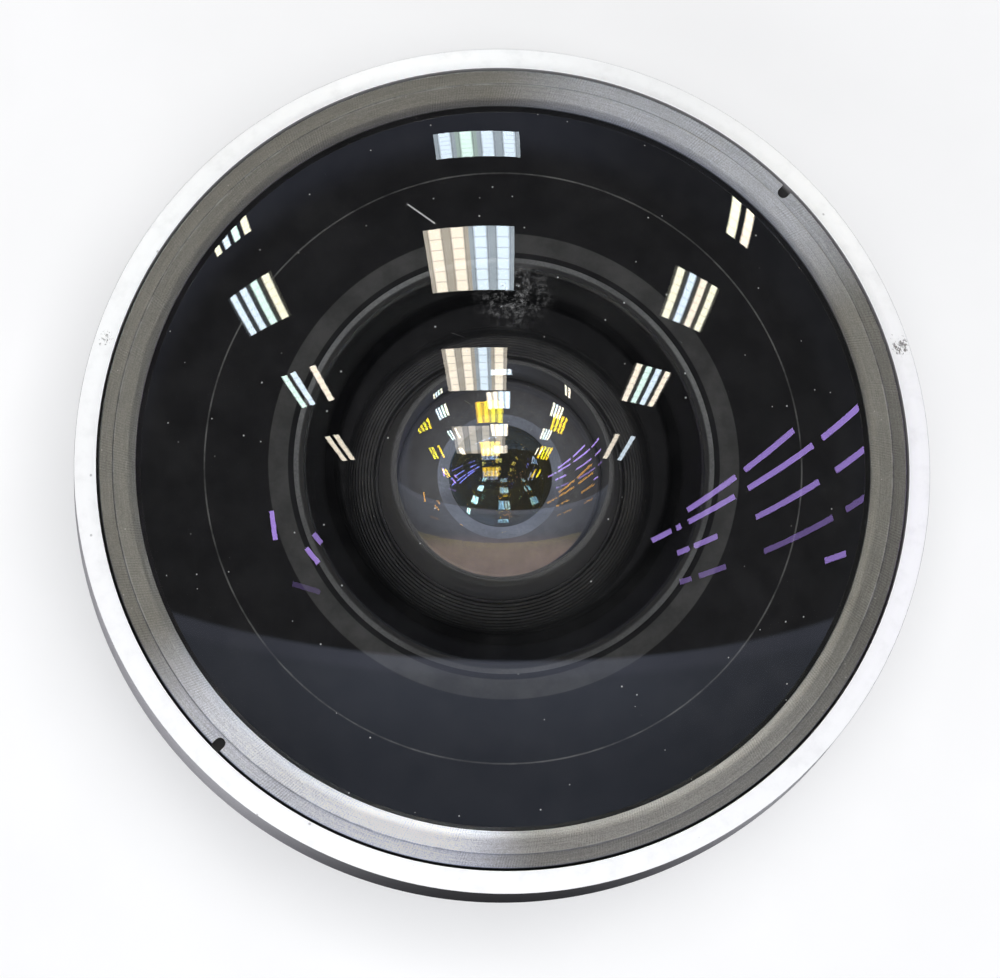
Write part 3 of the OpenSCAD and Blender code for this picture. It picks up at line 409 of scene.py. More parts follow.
def edgeWear(tree, at, width, breakUp=1.2):
    # bright where an edge is rubbed, broken up by a coarse grain
    bevel = addNode(tree, "Bevel", {"Radius": width * mm}, samples=4)
    flat = addNode(tree, "NewGeometry")
    dot = addNode(tree, "VectorMath", {0: bevel.outputs[0], 1: flat.outputs["Normal"]}, operation="DOT_PRODUCT")
    edge = between(tree, minus(tree, 1.0, dot.outputs["Value"]), 0.015, 0.12)
    patch = between(tree, grain(tree, at["place"], breakUp, 5.0, 0.65), 0.42, 0.62)
    return times(tree, edge, patch)


def specks(tree, at, perMm, size, share):
    # sparse round specks, such as dust
    cell = addNode(tree, "TexVoronoi", {"Vector": at["place"], "Scale": perMm, "Randomness": 1.0})
    dot = between(tree, cell.outputs["Distance"], size, size * 0.45)
    pick = addNode(tree, "SeparateColor", {0: cell.outputs["Color"]})
    chosen = calc(tree, "LESS_THAN", pick.outputs[0], share)
    return times(tree, dot, chosen)


def startMaterial(name):
    material = bpy.data.materials.new(name)
    material.use_nodes = True
    tree = material.node_tree
    return material, tree, tree.nodes["Principled BSDF"]


def startFinish(name):
    material, tree, shader = startMaterial(name)
    return material, tree, shader, lensPlace(tree)


def addBump(tree, shader, height, strength, distance):
    bump = addNode(tree, "Bump", {"Height": height, "Strength": strength, "Distance": distance * mm})
    tree.links.new(bump.outputs[0], shader.inputs["Normal"])


# finishes of the metal and painted pieces
finishes = {
    "anodisedBlack": {"base": (0.017, 0.017, 0.019), "other": (0.026, 0.026, 0.028), "worn": (0.3, 0.29, 0.28),
                      "metal": 0.25, "rough": (0.34, 0.5), "lines": 5.0, "lineBump": 0.12, "edge": 0.16, "dust": 0.035},
    "bellBlack": {"base": (0.013, 0.0128, 0.0145), "other": (0.02, 0.02, 0.022), "worn": (0.14, 0.135, 0.135),
                  "metal": 0.0, "rough": (0.42, 0.58), "lines": 5.0, "lineBump": 0.12, "edge": 0.16, "dust": 0.035,
                  "shine": 0.03},
    "mattBlack": {"base": (0.012, 0.012, 0.013), "other": (0.02, 0.02, 0.021), "worn": (0.09, 0.088, 0.085),
                  "metal": 0.0, "rough": (0.5, 0.72), "lines": 4.0, "lineBump": 0.1, "edge": 0.1, "dust": 0.05},
    "turnedGrey": {"base": (0.15, 0.147, 0.14), "other": (0.2, 0.195, 0.185), "worn": (0.5, 0.48, 0.46),
                   "metal": 0.8, "rough": (0.3, 0.46), "lines": 4.0, "lineBump": 0.2, "edge": 0.12, "dust": 0.05},
    "mountAluminium": {"base": (0.56, 0.56, 0.57), "other": (0.48, 0.48, 0.49), "worn": (0.78, 0.78, 0.78),
                       "metal": 0.9, "rough": (0.26, 0.4), "lines": 6.0, "lineBump": 0.18, "edge": 0.14, "dust": 0.04},
    "screwSteel": {"base": (0.3, 0.3, 0.31), "other": (0.38, 0.38, 0.39), "worn": (0.62, 0.62, 0.62),
                   "metal": 0.9, "rough": (0.25, 0.42), "lines": 8.0, "lineBump": 0.1, "edge": 0.08, "dust": 0.06},
    "bladeSteel": {"base": (0.1, 0.1, 0.105), "other": (0.14, 0.14, 0.15), "worn": (0.34, 0.34, 0.35),
                   "metal": 0.85, "rough": (0.3, 0.5), "lines": 3.0, "lineBump": 0.06, "edge": 0.05, "dust": 0.02},
    "helicoidBrass": {"base": (0.48, 0.33, 0.13), "other": (0.38, 0.26, 0.1), "worn": (0.7, 0.52, 0.25),
                      "metal": 0.95, "rough": (0.26, 0.42), "lines": 5.0, "lineBump": 0.15, "edge": 0.1, "dust": 0.03},
}
dustColour = (0.42, 0.41, 0.39)


def turnedFinish(name, look):
    material, tree, shader, at = startFinish(name)
    lines = latheLines(tree, at, look["lines"])
    cloud = grain(tree, at["place"], 0.22, 5.0, 0.6)
    fine = grain(tree, at["place"], 6.0, 3.0, 0.6)
    colour = blendColour(tree, between(tree, cloud, 0.35, 0.65), look["base"], look["other"])
    colour = toned(tree, colour, between(tree, lines, 0.3, 0.7, 0.86, 1.12))
    colour = blendColour(tree, edgeWear(tree, at, look["edge"]), colour, look["worn"])
    dust = specks(tree, at, 1.1, 0.11, look["dust"])
    colour = blendColour(tree, times(tree, dust, 0.5), colour, dustColour)
    mottle = plus(tree, times(tree, fine, 0.5), times(tree, lines, 0.5))
    fill(tree, shader, {"Base Color": colour, "Metallic": look["metal"], "Specular IOR Level": look.get("shine", 0.5),
                        "Roughness": between(tree, mottle, 0.3, 0.7, *look["rough"])})
    addBump(tree, shader, plus(tree, lines, times(tree, fine, 0.4)), look["lineBump"], 0.03)
    return material


metals = {name: turnedFinish(name, look) for name, look in finishes.items()}
slotFinish = {
    "anodised_black": "anodisedBlack", "matt_black": "mattBlack", "turned_grey": "turnedGrey",
    "bright_aluminium": "mountAluminium", "mount_steel": "mountAluminium", "screw_steel": "screwSteel",
    "blade_steel": "bladeSteel", "brass": "helicoidBrass",
}
print("metal finishes ready:", len(metals))

# bare aluminium of the rim: white from the front with a few spots of dirt, duller round its side, and darker at the
# bottom of its side by painted shade
rimLook = {
    "face": (0.93, 0.93, 0.925), "faceOther": (0.86, 0.86, 0.855), "side": (0.5, 0.488, 0.505),
    "dirt": (0.22, 0.21, 0.2), "dirtSpots": ((17.6, 36.0, 0.9), (19.5, 35.6, 0.5), (162.5, 35.9, 0.7)),
    "metal": 0.1, "rough": (0.34, 0.5), "sideRough": 0.5, "sideShine": 0.0,
    "sideFade": (-38.0, -27.0, 0.08, 1.0), "sideMetal": 0.25,
}


def rimFinish(look, faceZ):
    material, tree, shader, at = startFinish("rimAluminium")
    lines = latheLines(tree, at, 7.0)
    cloud = grain(tree, at["place"], 0.5, 5.0, 0.65)
    colour = blendColour(tree, between(tree, cloud, 0.45, 0.75), look["face"], look["faceOther"])
    for turn, r, wide in look["dirtSpots"]:
        spot = (r * math.cos(math.radians(turn)), r * math.sin(math.radians(turn)), faceZ)
        ragged = between(tree, grain(tree, at["place"], 3.0, 6.0, 0.75), 0.3, 0.7, -0.6 * wide, 1.1 * wide)
        ragged = plus(tree, awayFrom(tree, at, spot), ragged)
        colour = blendColour(tree, between(tree, ragged, wide, 0.5 * wide), colour, look["dirt"])
    nicks = specks(tree, at, 0.9, 0.14, 0.1)
    colour = blendColour(tree, times(tree, nicks, 0.55), colour, look["dirt"])
    fill(tree, shader, {"Base Color": colour, "Metallic": look["metal"],
                        "Roughness": between(tree, lines, 0.3, 0.7, *look["rough"])})
    addBump(tree, shader, plus(tree, lines, cloud), 0.12, 0.03)
    return material


def rimSideFinish(look):
    material, tree, shader, at = startFinish("rimSide")
    lines = latheLines(tree, at, 5.0)
    # painted shade: the side darkens towards the bottom, its colour and its metal both faded by height
    paintedShadeFade = between(tree, at["y"], *look["sideFade"])
    colour = toned(tree, look["side"], times(tree, between(tree, lines, 0.3, 0.7, 0.85, 1.15), paintedShadeFade))
    colour = blendColour(tree, times(tree, edgeWear(tree, at, 0.15), 0.6), colour, look["faceOther"])
    colour = blendColour(tree, times(tree, specks(tree, at, 1.0, 0.1, 0.06), 0.5), colour, look["dirt"])
    fill(tree, shader, {"Base Color": colour, "Metallic": times(tree, paintedShadeFade, look["sideMetal"]),
                        "Roughness": look["sideRough"], "Specular IOR Level": look["sideShine"]})
    addBump(tree, shader, lines, 0.1, 0.03)
    return material


# dark turned ring round the front glass: fine hatching, sparkle, scratches, and zones of painted sheen,
# each with its turn, the cosine where it starts and its tint
retainerLook = {
    "inner": (0.245, 0.242, 0.226), "outer": (0.216, 0.213, 0.199), "light": (0.5, 0.495, 0.48),
    "bits": (0.66, 0.65, 0.62), "stepR": 33.65, "hatchTurns": 900, "hatchLean": 7.0,
    "metal": 0.85, "rough": (0.3, 0.5), "spin": 0.4,
    "fans": ((58.0, 0.82, (2.1, 2.25, 2.7)), (240.0, 0.81, (3.4, 3.6, 4.4)), (287.0, 0.6, (1.5, 1.52, 1.6))),
}


def retainerFinish(look):
    material, tree, shader, at = startFinish("retainerGrey")
    lines = latheLines(tree, at, 8.0, 4.0)
    fine = grain(tree, at["place"], 11.0, 3.0, 0.7)
    cloud = grain(tree, at["place"], 0.3, 5.0, 0.65)
    # round the ring the noise is drawn out into streaks
    around = {0: times(tree, at["angle"], 9.0), 1: times(tree, at["r"], 8.0)}
    around = addNode(tree, "CombineXYZ", around).outputs[0]
    streaks = grain(tree, around, 1.0, 5.0, 0.7)
    lean = plus(tree, times(tree, at["angle"], look["hatchTurns"]), times(tree, at["r"], look["hatchLean"]))
    hatch = times(tree, calc(tree, "SINE", lean), between(tree, cloud, 0.46, 0.62))
    zone = between(tree, at["r"], look["stepR"] - 0.06, look["stepR"] + 0.06)
    colour = blendColour(tree, zone, look["inner"], look["outer"])
    shade = times(tree, between(tree, lines, 0.3, 0.7, 0.93, 1.07), between(tree, fine, 0.25, 0.75, 0.72, 1.28))
    shade = times(tree, shade, between(tree, streaks, 0.3, 0.7, 0.86, 1.12))
    colour = toned(tree, colour, plus(tree, shade, times(tree, hatch, 0.14)))
    # painted sheen: the colour is brightened in fans round the ring
    for turn, start, tint in look["fans"]:
        facing = calc(tree, "COSINE", minus(tree, at["angle"], math.radians(turn)))
        paintedSheen = blendColour(tree, between(tree, facing, start, 0.99), (1.0, 1.0, 1.0), tint)
        colour = blendColour(tree, 1.0, colour, paintedSheen, "MULTIPLY")
    rub = times(tree, between(tree, absolute(tree, minus(tree, at["r"], look["stepR"])), 0.14, 0.03),
                between(tree, grain(tree, at["place"], 0.5, 5.0, 0.7), 0.4, 0.62))
    scratch = between(tree, grain(tree, around, 1.9, 2.0, 0.5), 0.7, 0.76)
    marks = calc(tree, "MAXIMUM", times(tree, rub, 0.6), times(tree, scratch, 0.55))
    marks = calc(tree, "MAXIMUM", marks, times(tree, edgeWear(tree, at, 0.12), 0.8))
    colour = blendColour(tree, marks, colour, look["light"])
    colour = blendColour(tree, times(tree, specks(tree, at, 1.5, 0.12, 0.2), 0.6), colour, look["bits"])
    mottle = plus(tree, times(tree, fine, 0.5), times(tree, lines, 0.5))
    tangent = addNode(tree, "Tangent", direction_type="RADIAL", axis="Z")
    fill(tree, shader, {"Base Color": colour, "Metallic": look["metal"], "Anisotropic": look["spin"],
                        "Tangent": tangent.outputs[0], "Roughness": between(tree, mottle, 0.3, 0.7, *look["rough"])})
    height = plus(tree, times(tree, lines, 0.4), plus(tree, times(tree, hatch, 0.2), times(tree, fine, 0.5)))
    addBump(tree, shader, height, 0.15, 0.02)
    return material


# polished glass: clear, with dust; the tint is the coating's colour in reflection
glassLooks = {
    "frontGlass": {"tint": (1.0, 1.0, 1.0), "index": 1.6, "coat": 0.5, "coatIndex": 1.6, "dust": 0.36,
                   "smudge": (0.2, 13.6, 67.0), "smudgeR": 4.2, "scratchWay": (0.768, -0.64), "scratch": (-19.1, 11.3)},
    "hollowGlass": {"tint": (0.97, 1.0, 1.0), "index": 1.6, "coat": 1.0, "coatIndex": 2.0, "dust": 0.0},
    "secondGlass": {"tint": (1.0, 0.74, 0.02), "index": 2.6, "dust": 0.1},
    "clearGlass": {"tint": (0.95, 0.97, 1.0), "index": 1.52, "dust": 0.1},
    "amberGlass": {"tint": (1.0, 0.55, 0.2), "index": 1.65, "dust": 0.0},
    "yellowGlass": {"tint": (1.0, 0.74, 0.12), "index": 2.0, "dust": 0.0},
    "violetGlass": {"tint": (0.62, 0.45, 1.0), "index": 1.62, "dust": 0.0},
    "greenGlass": {"tint": (0.5, 1.0, 0.75), "index": 1.62, "dust": 0.05},
    "paleBlueGlass": {"tint": (0.8, 0.92, 1.0), "index": 1.9, "dust": 0.0},
    "mintGlass": {"tint": (0.7, 1.0, 0.84), "index": 2.3, "mirror": 0.6, "mirrorX": (-0.2, -1.4), "dust": 0.0},
}


def smudgeOn(tree, at, look):
    # a cloudy patch, and a short scratch with its place along its way and off to the side
    cloudy = between(tree, grain(tree, at["place"], 1.6, 10.0, 0.85), 0.47, 0.7)
    patch = times(tree, between(tree, awayFrom(tree, at, look["smudge"]), look["smudgeR"], 0.3), cloudy)
    wayX, wayY = look["scratchWay"]
    along = plus(tree, times(tree, at["x"], wayX), times(tree, at["y"], wayY))
    aside = plus(tree, times(tree, at["x"], -wayY), times(tree, at["y"], wayX))
    offAlong = absolute(tree, minus(tree, along, look["scratch"][0]))
    offAside = absolute(tree, minus(tree, aside, look["scratch"][1]))
    scratch = times(tree, between(tree, offAside, 0.1, 0.04), between(tree, offAlong, 1.7, 1.3))
    return plus(tree, times(tree, patch, 0.32), times(tree, scratch, 0.4))


def glassFinish(name, look):
    material, tree, shader, at = startFinish(name)
    fill(tree, shader, {"IOR": look["index"], "Specular Tint": look["tint"] + (1.0,)})
    clear = (1.0, 1.0, 1.0)
    if "mirror" in look:
        clear = look["tint"]
        fill(tree, shader, {"Metallic": between(tree, at["x"], *look["mirrorX"], 0.0, look["mirror"])})
    if "coat" in look:
        fill(tree, shader, {"Coat Weight": look["coat"], "Coat IOR": look["coatIndex"], "Coat Roughness": 0.0})
    haze = between(tree, grain(tree, at["place"], 0.12, 5.0, 0.6), 0.45, 0.8, 0.0, 0.006)
    dust = plus(tree, times(tree, specks(tree, at, 0.75, 0.07, look["dust"]), 0.5), haze)
    if "smudge" in look:
        dust = plus(tree, dust, smudgeOn(tree, at, look))
    dust = calc(tree, "MINIMUM", dust, 1.0)
    fill(tree, shader, {"Base Color": blendColour(tree, dust, clear, (0.55, 0.55, 0.52)),
                        "Transmission Weight": minus(tree, 1.0, dust),
                        "Roughness": between(tree, dust, 0.05, 0.4, 0.0, 0.5)})
    # lamps shine on through the glass
    path = addNode(tree, "LightPath")
    through = addNode(tree, "BsdfTransparent")
    both = addNode(tree, "MixShader", {0: path.outputs["Is Shadow Ray"], 1: shader.outputs[0], 2: through.outputs[0]})
    tree.links.new(both.outputs[0], tree.nodes["Material Output"].inputs["Surface"])
    return material


# the joint of a cemented pair, all but clear
cementLook = {"base": (0.3, 0.22, 0.1), "other": (0.4, 0.32, 0.18), "cover": 0.01, "rough": 0.3}


def cementFinish(look):
    material, tree, shader, at = startFinish("cement")
    cloud = between(tree, grain(tree, at["place"], 0.6, 4.0, 0.6), 0.35, 0.65)
    fill(tree, shader, {"Base Color": blendColour(tree, cloud, look["base"], look["other"]), "Alpha": look["cover"],
                        "Roughness": look["rough"]})
    return material


glasses = {name: glassFinish(name, look) for name, look in glassLooks.items()}
glasses["cement"] = cementFinish(cementLook)

# paint on the back of the front glass: a grey ground band, thin lines and black
paintLook = {
    "black": (0.0068, 0.0068, 0.0072), "band": (0.03, 0.03, 0.0295), "line": (0.06, 0.06, 0.058),
    "bandR": (17.1, 18.72), "lineR": 24.25, "lineWidth": 0.1, "dust": (0.3, 0.3, 0.29),
    "grazed": (0.0012, 0.0012, 0.0013),
    "bevel": (0.08, 0.082, 0.082), "bevelLow": 0.5, "bevelFrom": 16.2, "rough": 0.7, "shine": 0.05,
}


def grazing(tree):
    # 1 where the paint is met at a slant, inside the hollow's edge, where it is seen mirrored in the hollow
    facing = addNode(tree, "LayerWeight", {0: 0.5}).outputs["Facing"]
    return between(tree, facing, 0.3, 0.45)


def paintFinish(look):
    material, tree, shader, at = startFinish("glassPaint")
    cloud = grain(tree, at["place"], 0.35, 5.0, 0.65)
    bandIn, bandOut = look["bandR"]
    inBand = times(tree, between(tree, at["r"], bandIn - 0.05, bandIn + 0.02),
                   between(tree, at["r"], bandOut + 0.04, bandOut - 0.04))
    colour = blendColour(tree, inBand, look["black"], look["band"])
    offLine = absolute(tree, minus(tree, at["r"], look["lineR"]))
    onLine = times(tree, between(tree, offLine, look["lineWidth"], look["lineWidth"] * 0.3),
                   between(tree, cloud, 0.3, 0.6, 0.35, 1.0))
    colour = blendColour(tree, onLine, colour, look["line"])
    colour = toned(tree, colour, between(tree, cloud, 0.3, 0.7, 0.75, 1.25))
    colour = blendColour(tree, times(tree, specks(tree, at, 0.9, 0.09, 0.05), 0.4), colour, look["dust"])
    # painted dark reflection: the paint goes near black where it is seen at a slant, mirrored in the hollow
    colour = blendColour(tree, grazing(tree), colour, look["grazed"])
    fill(tree, shader, {"Base Color": colour, "Roughness": look["rough"], "Specular IOR Level": look["shine"]})
    return material


def groundFinish(name, colour, low, fromR=0.0):
    # ground glass of the bevel round a hollow, duller towards the bottom by painted shade
    material, tree, shader, at = startFinish(name)
    sparkle = grain(tree, at["place"], 8.0, 4.0, 0.7)
    shade = between(tree, sparkle, 0.3, 0.7, 0.6, 1.2)
    around = between(tree, grain(tree, at["place"], 0.15, 3.0, 0.5), 0.35, 0.65, 0.6, 1.15)
    upward = between(tree, at["y"], -16.0, 16.0, low, 1.0)
    shade = times(tree, shade, times(tree, around, upward))
    # the bevel is dark inside fromR; where it is seen at a slant, mirrored in the hollow, it is painted dark too, a
    # painted dark reflection
    if fromR:
        shade = times(tree, shade, between(tree, at["r"], fromR - 0.06, fromR + 0.1, 0.06, 1.0))
        shade = times(tree, shade, minus(tree, 1.0, grazing(tree)))
    fill(tree, shader, {"Base Color": toned(tree, colour, shade), "Roughness": 0.6})
    return material


glassPaint = paintFinish(paintLook)
groundBevel = groundFinish("groundBevel", paintLook["bevel"], paintLook["bevelLow"], paintLook["bevelFrom"])
print("glass finishes ready:", len(glasses))

# front glass: outside dome, blackened edge and back, ground bevel, hollow
frontGlass = {"ball": 52.0, "hollowBall": 18.1, "middle": 4.8, "edgeBreak": 0.25, "bevelR": (15.84, 16.62),
              "rings": (24.5, 24.0, 18.9, 18.6)}


def makeFrontGlass(sizes):
    edgeR, rearZ, crownZ = nodeSize("glass_1")
    hollowZ = crownZ - sizes["middle"]
    soft = sizes["edgeBreak"]
    bevelIn, bevelOut = sizes["bevelR"]
    hollowCentre = hollowZ - sizes["hollowBall"]
    bevelZ = hollowCentre + math.sqrt(sizes["hollowBall"] ** 2 - bevelIn ** 2)
    outline = dome(sizes["ball"], crownZ, 0, edgeR - soft, 56)
    outline += [(edgeR, outline[-1][1] - soft), (edgeR, rearZ + soft), (edgeR - soft, rearZ)]
    outline += [(r, rearZ) for r in sizes["rings"]] + [(bevelOut, rearZ)]
    outline += dome(sizes["hollowBall"], hollowZ, bevelIn, 0, 44)
    piece = turnPiece("frontGlass", outline, 256, closed=False)
    for face in piece.data.polygons:
        r = faceRadius(face)
        if face.normal.z > 0.5 and r < edgeR - soft:
            face.material_index = 0
        elif bevelIn < r < bevelOut and face.center.z / mm < bevelZ + 0.01:
            face.material_index = 2
        elif r < bevelIn:
            face.material_index = 3
        else:
            face.material_index = 1
    dressPiece(piece, "lens_block", "glass_1", "front_glass",
               glasses["frontGlass"], glassPaint, groundBevel, glasses["hollowGlass"])


makeFrontGlass(frontGlass)

# second glass: flatter than a ball of its own width, hollow behind, its rear land painted grey, with a painted
# reflection low down
secondGlass = {"ball": 46.0, "crownDrop": 4.98, "hollowBall": 14.0, "hollowR": 5.6, "bevelR": 6.85, "middle": 0.8,
               "soft": 0.12, "lift": 0.04, "marginR": 11.3,
               "landIn": (0.085, 0.083, 0.08), "landOut": (0.045, 0.043, 0.042), "landEdge": 11.5,
               "landLow": (0.17, 0.118, 0.102), "lowY": (-6.0, -8.5), "landRough": 0.65,
               "landShine": 0.05, "ground": (0.2, 0.21, 0.225), "groundLow": 0.8}


def landFinish(look):
    material, tree, shader, at = startFinish("secondLand")
    shade = between(tree, grain(tree, at["place"], 0.5, 5.0, 0.65), 0.3, 0.7, 0.85, 1.15)
    outward = between(tree, at["r"], look["bevelR"], look["landEdge"])
    colour = blendColour(tree, outward, look["landIn"], look["landOut"])
    # painted reflection: the land is lighter and browner towards the bottom, as the table's reflection
    colour = blendColour(tree, between(tree, at["y"], *look["lowY"]), colour, look["landLow"])
    fill(tree, shader, {"Base Color": toned(tree, colour, shade), "Roughness": look["landRough"],
                        "Specular IOR Level": look["landShine"]})
    return material


def makeSecondGlass(sizes):
    edgeR, seatZ, topZ = nodeSize("glass_2")
    # the land clears the barrel's seat
    seatZ += sizes["lift"]
    crownZ = topZ - sizes["crownDrop"]
    soft, hollowR, bevelR = sizes["soft"], sizes["hollowR"], sizes["bevelR"]
    frontZ = crownZ - sag(sizes["ball"], edgeR)
    outline = dome(sizes["ball"], crownZ, 0, edgeR - soft, 40)
    outline += [(edgeR, frontZ - soft), (edgeR, seatZ + soft), (edgeR - soft, seatZ), (bevelR, seatZ)]
    outline += dome(sizes["hollowBall"], crownZ - sizes["middle"], hollowR, 0, 30)
    piece = turnPiece("secondGlass", outline, 192, closed=False)
    for face in piece.data.polygons:
        r = faceRadius(face)
        if face.normal.z > 0.4:
            face.material_index = 0 if r < sizes["marginR"] else 4
        elif r < hollowR:
            face.material_index = 1
        elif r < bevelR:
            face.material_index = 3
        else:
            face.material_index = 2
    dressPiece(piece, "lens_block", "glass_2", "lens_glass",
               glasses["secondGlass"], glasses["yellowGlass"], landFinish(sizes),
               groundFinish("secondBevel", sizes["ground"], sizes["groundLow"]), metals["mattBlack"])


makeSecondGlass(secondGlass)

# deeper elements, each with its own coating: front and rear balls, steps along them and finishes
deepGlass = {
    "third": {"hollow": 1.2, "middle": 0.9, "edge": 0.1, "joint": 14.0},
    "bulging": (("glass_4", "fourthGlass", (14.0, 24.0), (24, 20), ("cement", "mintGlass")),
                ("glass_5", "fifthGlass", (18.0, 24.0), (24, 20), ("violetGlass", "amberGlass"))),
    "sixth": (20.0, 30.0), "seventh": (30.0, 22.0), "eighth": 28.0,
    "cementGap": 0.02, "edgeBreak": 0.15, "eighthFlat": 4.0, "filterFlat": 5.0,
}


def makeLens(node, name, outline, frontFinish, rearFinish, steps=128):
    piece = turnPiece(name, outline, steps, closed=False)
    edgeR = nodeSize(node)[0]
    for face in piece.data.polygons:
        if abs(face.normal.z) < 0.2 and faceRadius(face) > edgeR - 0.2:
            face.material_index = 2
        else:
            face.material_index = 0 if face.normal.z > 0 else 1
    dressPiece(piece, "lens_block", node, "lens_glass",
               glasses[frontFinish], glasses[rearFinish], metals["mattBlack"])


def rearDome(ball, r, z0, sizes, count):
    return [(r, z0 + sag(ball, r))] + dome(ball, z0, r - sizes["cementGap"], 0, count, up=-1)


def makeDeepGlass(sizes):
    third, gap, soft = sizes["third"], sizes["cementGap"], sizes["edgeBreak"]
    r, z0, z1 = nodeSize("glass_3")
    hollow, edge, joint = third["hollow"], third["edge"], third["joint"]
    lip = r - hollow
    ball = (lip * lip + hollow * hollow) / 2 / hollow
    jointZ = z1 - hollow - third["middle"] + gap
    outline = dome(ball, z1 - hollow, 0, lip, 20, up=-1) + [(r - edge, z1), (r, z1 - edge), (r, jointZ - sag(joint, r))]
    makeLens("glass_3", "thirdGlass", outline + dome(joint, jointZ, r - gap, 0, 24), "paleBlueGlass", "cement")
    for node, name, (front, rear), (frontCount, rearCount), finishNames in sizes["bulging"]:
        r, z0, z1 = nodeSize(node)
        makeLens(node, name, dome(front, z1, 0, r, frontCount) + rearDome(rear, r, z0, sizes, rearCount), *finishNames)
    r, z0, z1 = nodeSize("glass_6")
    front, rear = sizes["sixth"]
    outline = dome(front, z1, 0, r, 20) + dome(rear, z0, r, 0, 16, up=-1)
    makeLens("glass_6", "sixthGlass", outline, "violetGlass", "cement")
    r, z0, z1 = nodeSize("glass_7")
    front, rear = sizes["seventh"]
    outline = dome(front, z1 - sag(front, r), 0, r, 16, up=-1) + rearDome(rear, r, z0, sizes, 16)
    makeLens("glass_7", "seventhGlass", outline, "cement", "amberGlass")
    r, z0, z1 = nodeSize("glass_8")
    outline = dome(sizes["eighth"], z1, 0, r, 16)
    outline += [(r, z0 + soft), (r - soft, z0), (sizes["eighthFlat"], z0), (0, z0)]
    makeLens("glass_8", "eighthGlass", outline, "amberGlass", "violetGlass")
    r, z0, z1 = nodeSize("rear_filter")
    flat = sizes["filterFlat"]
    outline = [(0, z1), (flat, z1), (r - soft, z1), (r, z1 - soft), (r, z0 + soft), (r - soft, z0), (flat, z0), (0, z0)]
    makeLens("rear_filter", "rearFilter", outline, "clearGlass", "greenGlass")


makeDeepGlass(deepGlass)
print("glass made")

# bright rim: its face falls outwards
rim = {"wall": 1.9, "fall": 0.8, "edge": 0.12, "inner": 0.07, "rear": 0.2, "rearSoft": 0.06, "lip": 2.2,
       "bands": (0.4, 0.9, 1.4)}


def makeRim(sizes):
    outR, z0, z1 = nodeSize("front_rim")
    inR = outR - sizes["wall"]
    edge, inner = sizes["edge"], sizes["inner"]
    faceZ = z1 - sizes["fall"]
    slope = sizes["fall"] / sizes["wall"]
    rear, soft = sizes["rear"], sizes["rearSoft"]
    outline = [(inR, z0), (outR - rear, z0), (outR - soft, z0 + soft), (outR, z0 + rear)]
    outline += [(outR, faceZ - edge), (outR - edge * 0.3, faceZ - edge * 0.35), (outR - edge, faceZ)]
    outline += [(outR - edge - w, faceZ + slope * w) for w in sizes["bands"]]
    outline += [(inR + inner, z1 - 0.004), (inR + inner * 0.3, z1 - inner * 0.3), (inR, z1 - inner),
                (inR, z1 - sizes["lip"])]
    piece = turnPiece("frontRim", outline, 256)
    # the inner wall and the outer side take the side finish, with its painted shade towards the bottom
    for face in piece.data.polygons:
        r = faceRadius(face)
        if r < inR + inner * 0.5 or r > outR - 0.1 and face.center.z / mm < faceZ - edge * 0.3:
            face.material_index = 1
    dressPiece(piece, "lens_block", "front_rim", "bright_aluminium",
               rimFinish(rimLook, faceZ), rimSideFinish(rimLook))


makeRim(rim)

# retaining ring: inner land, a small step, outer land, two spanner slots
retainer = {"width": 3.2, "step": 1.95, "stepRise": 0.1, "lipGap": 0.06, "footHold": 1.0,
            "slotWidth": 0.95, "slotLength": 1.0, "slotDepth": 1.1, "slotTurns": (45, 225), "slotReach": 2.0,
            "edge": 0.12, "edgeSoft": 0.04, "darkEdge": 0.06}


def makeRetainer(sizes):
    outR, z0, topZ = nodeSize("front_retainer")
    z1 = topZ - sizes["stepRise"]
    inR = outR - sizes["width"]
    stepR = inR + sizes["step"]
    lipR = inR + sizes["footHold"]
    glassZ = nodeSize("glass_1")[2]
    ball = frontGlass["ball"]
    edge, soft = sizes["edge"], sizes["edgeSoft"]
    outline = [(lipR, z0), (outR, z0), (outR, z1 - edge), (outR - soft, z1 - soft), (outR - edge, z1)]
    outline += [(stepR + 0.55, z1 - 0.01), (stepR + sizes["stepRise"], z1), (stepR, topZ), (stepR - 0.1, topZ - 0.005)]
    outline += [(inR + 0.9, topZ - 0.02), (inR + 0.1, topZ - 0.04), (inR + 0.03, topZ - 0.07), (inR, topZ - 0.12)]
    outline += [(inR, glassZ - sag(ball, inR) + sizes["lipGap"]), (lipR, glassZ - sag(ball, lipR) + sizes["lipGap"])]
    piece = turnPiece("frontRetainer", outline, 256)
    half = sizes["slotWidth"] / 2
    for turn in sizes["slotTurns"]:
        cutter = post(half, 2 * sizes["slotDepth"], outR - sizes["slotLength"] + half, 0, z1, 24)
        openPiece(cutter)
        # the round end is drawn out past the ring's outside
        selectFaces(cutter, lambda middle, normal: normal.x > 0.05 and abs(normal.z) < 0.5)
        bpy.ops.mesh.extrude_region_move(TRANSFORM_OT_translate={"value": (sizes["slotReach"] * mm, 0, 0)})
        closeShell()
        cutter.rotation_euler.z = math.radians(turn)
        applyPlace()
        cutAway(piece, cutter)
    shadePiece(piece, 25)
    # painted shade: the slots and the ring's outer edge take the matt black finish
    for face in piece.data.polygons:
        middle = face.center / mm
        r, turn = math.hypot(middle.x, middle.y), math.atan2(middle.y, middle.x)
        if r > outR - sizes["darkEdge"]:
            face.material_index = 1
        if outR - sizes["slotLength"] - 0.1 < r < outR - 0.01 and middle.z < z1 - 0.03:
            off = min(abs(math.remainder(turn - math.radians(slot), math.tau)) for slot in sizes["slotTurns"])
            if off * r < half + 0.05:
                face.material_index = 1
    dressPiece(piece, "lens_block", "front_retainer", "turned_grey",
               retainerFinish(retainerLook), metals["mattBlack"])


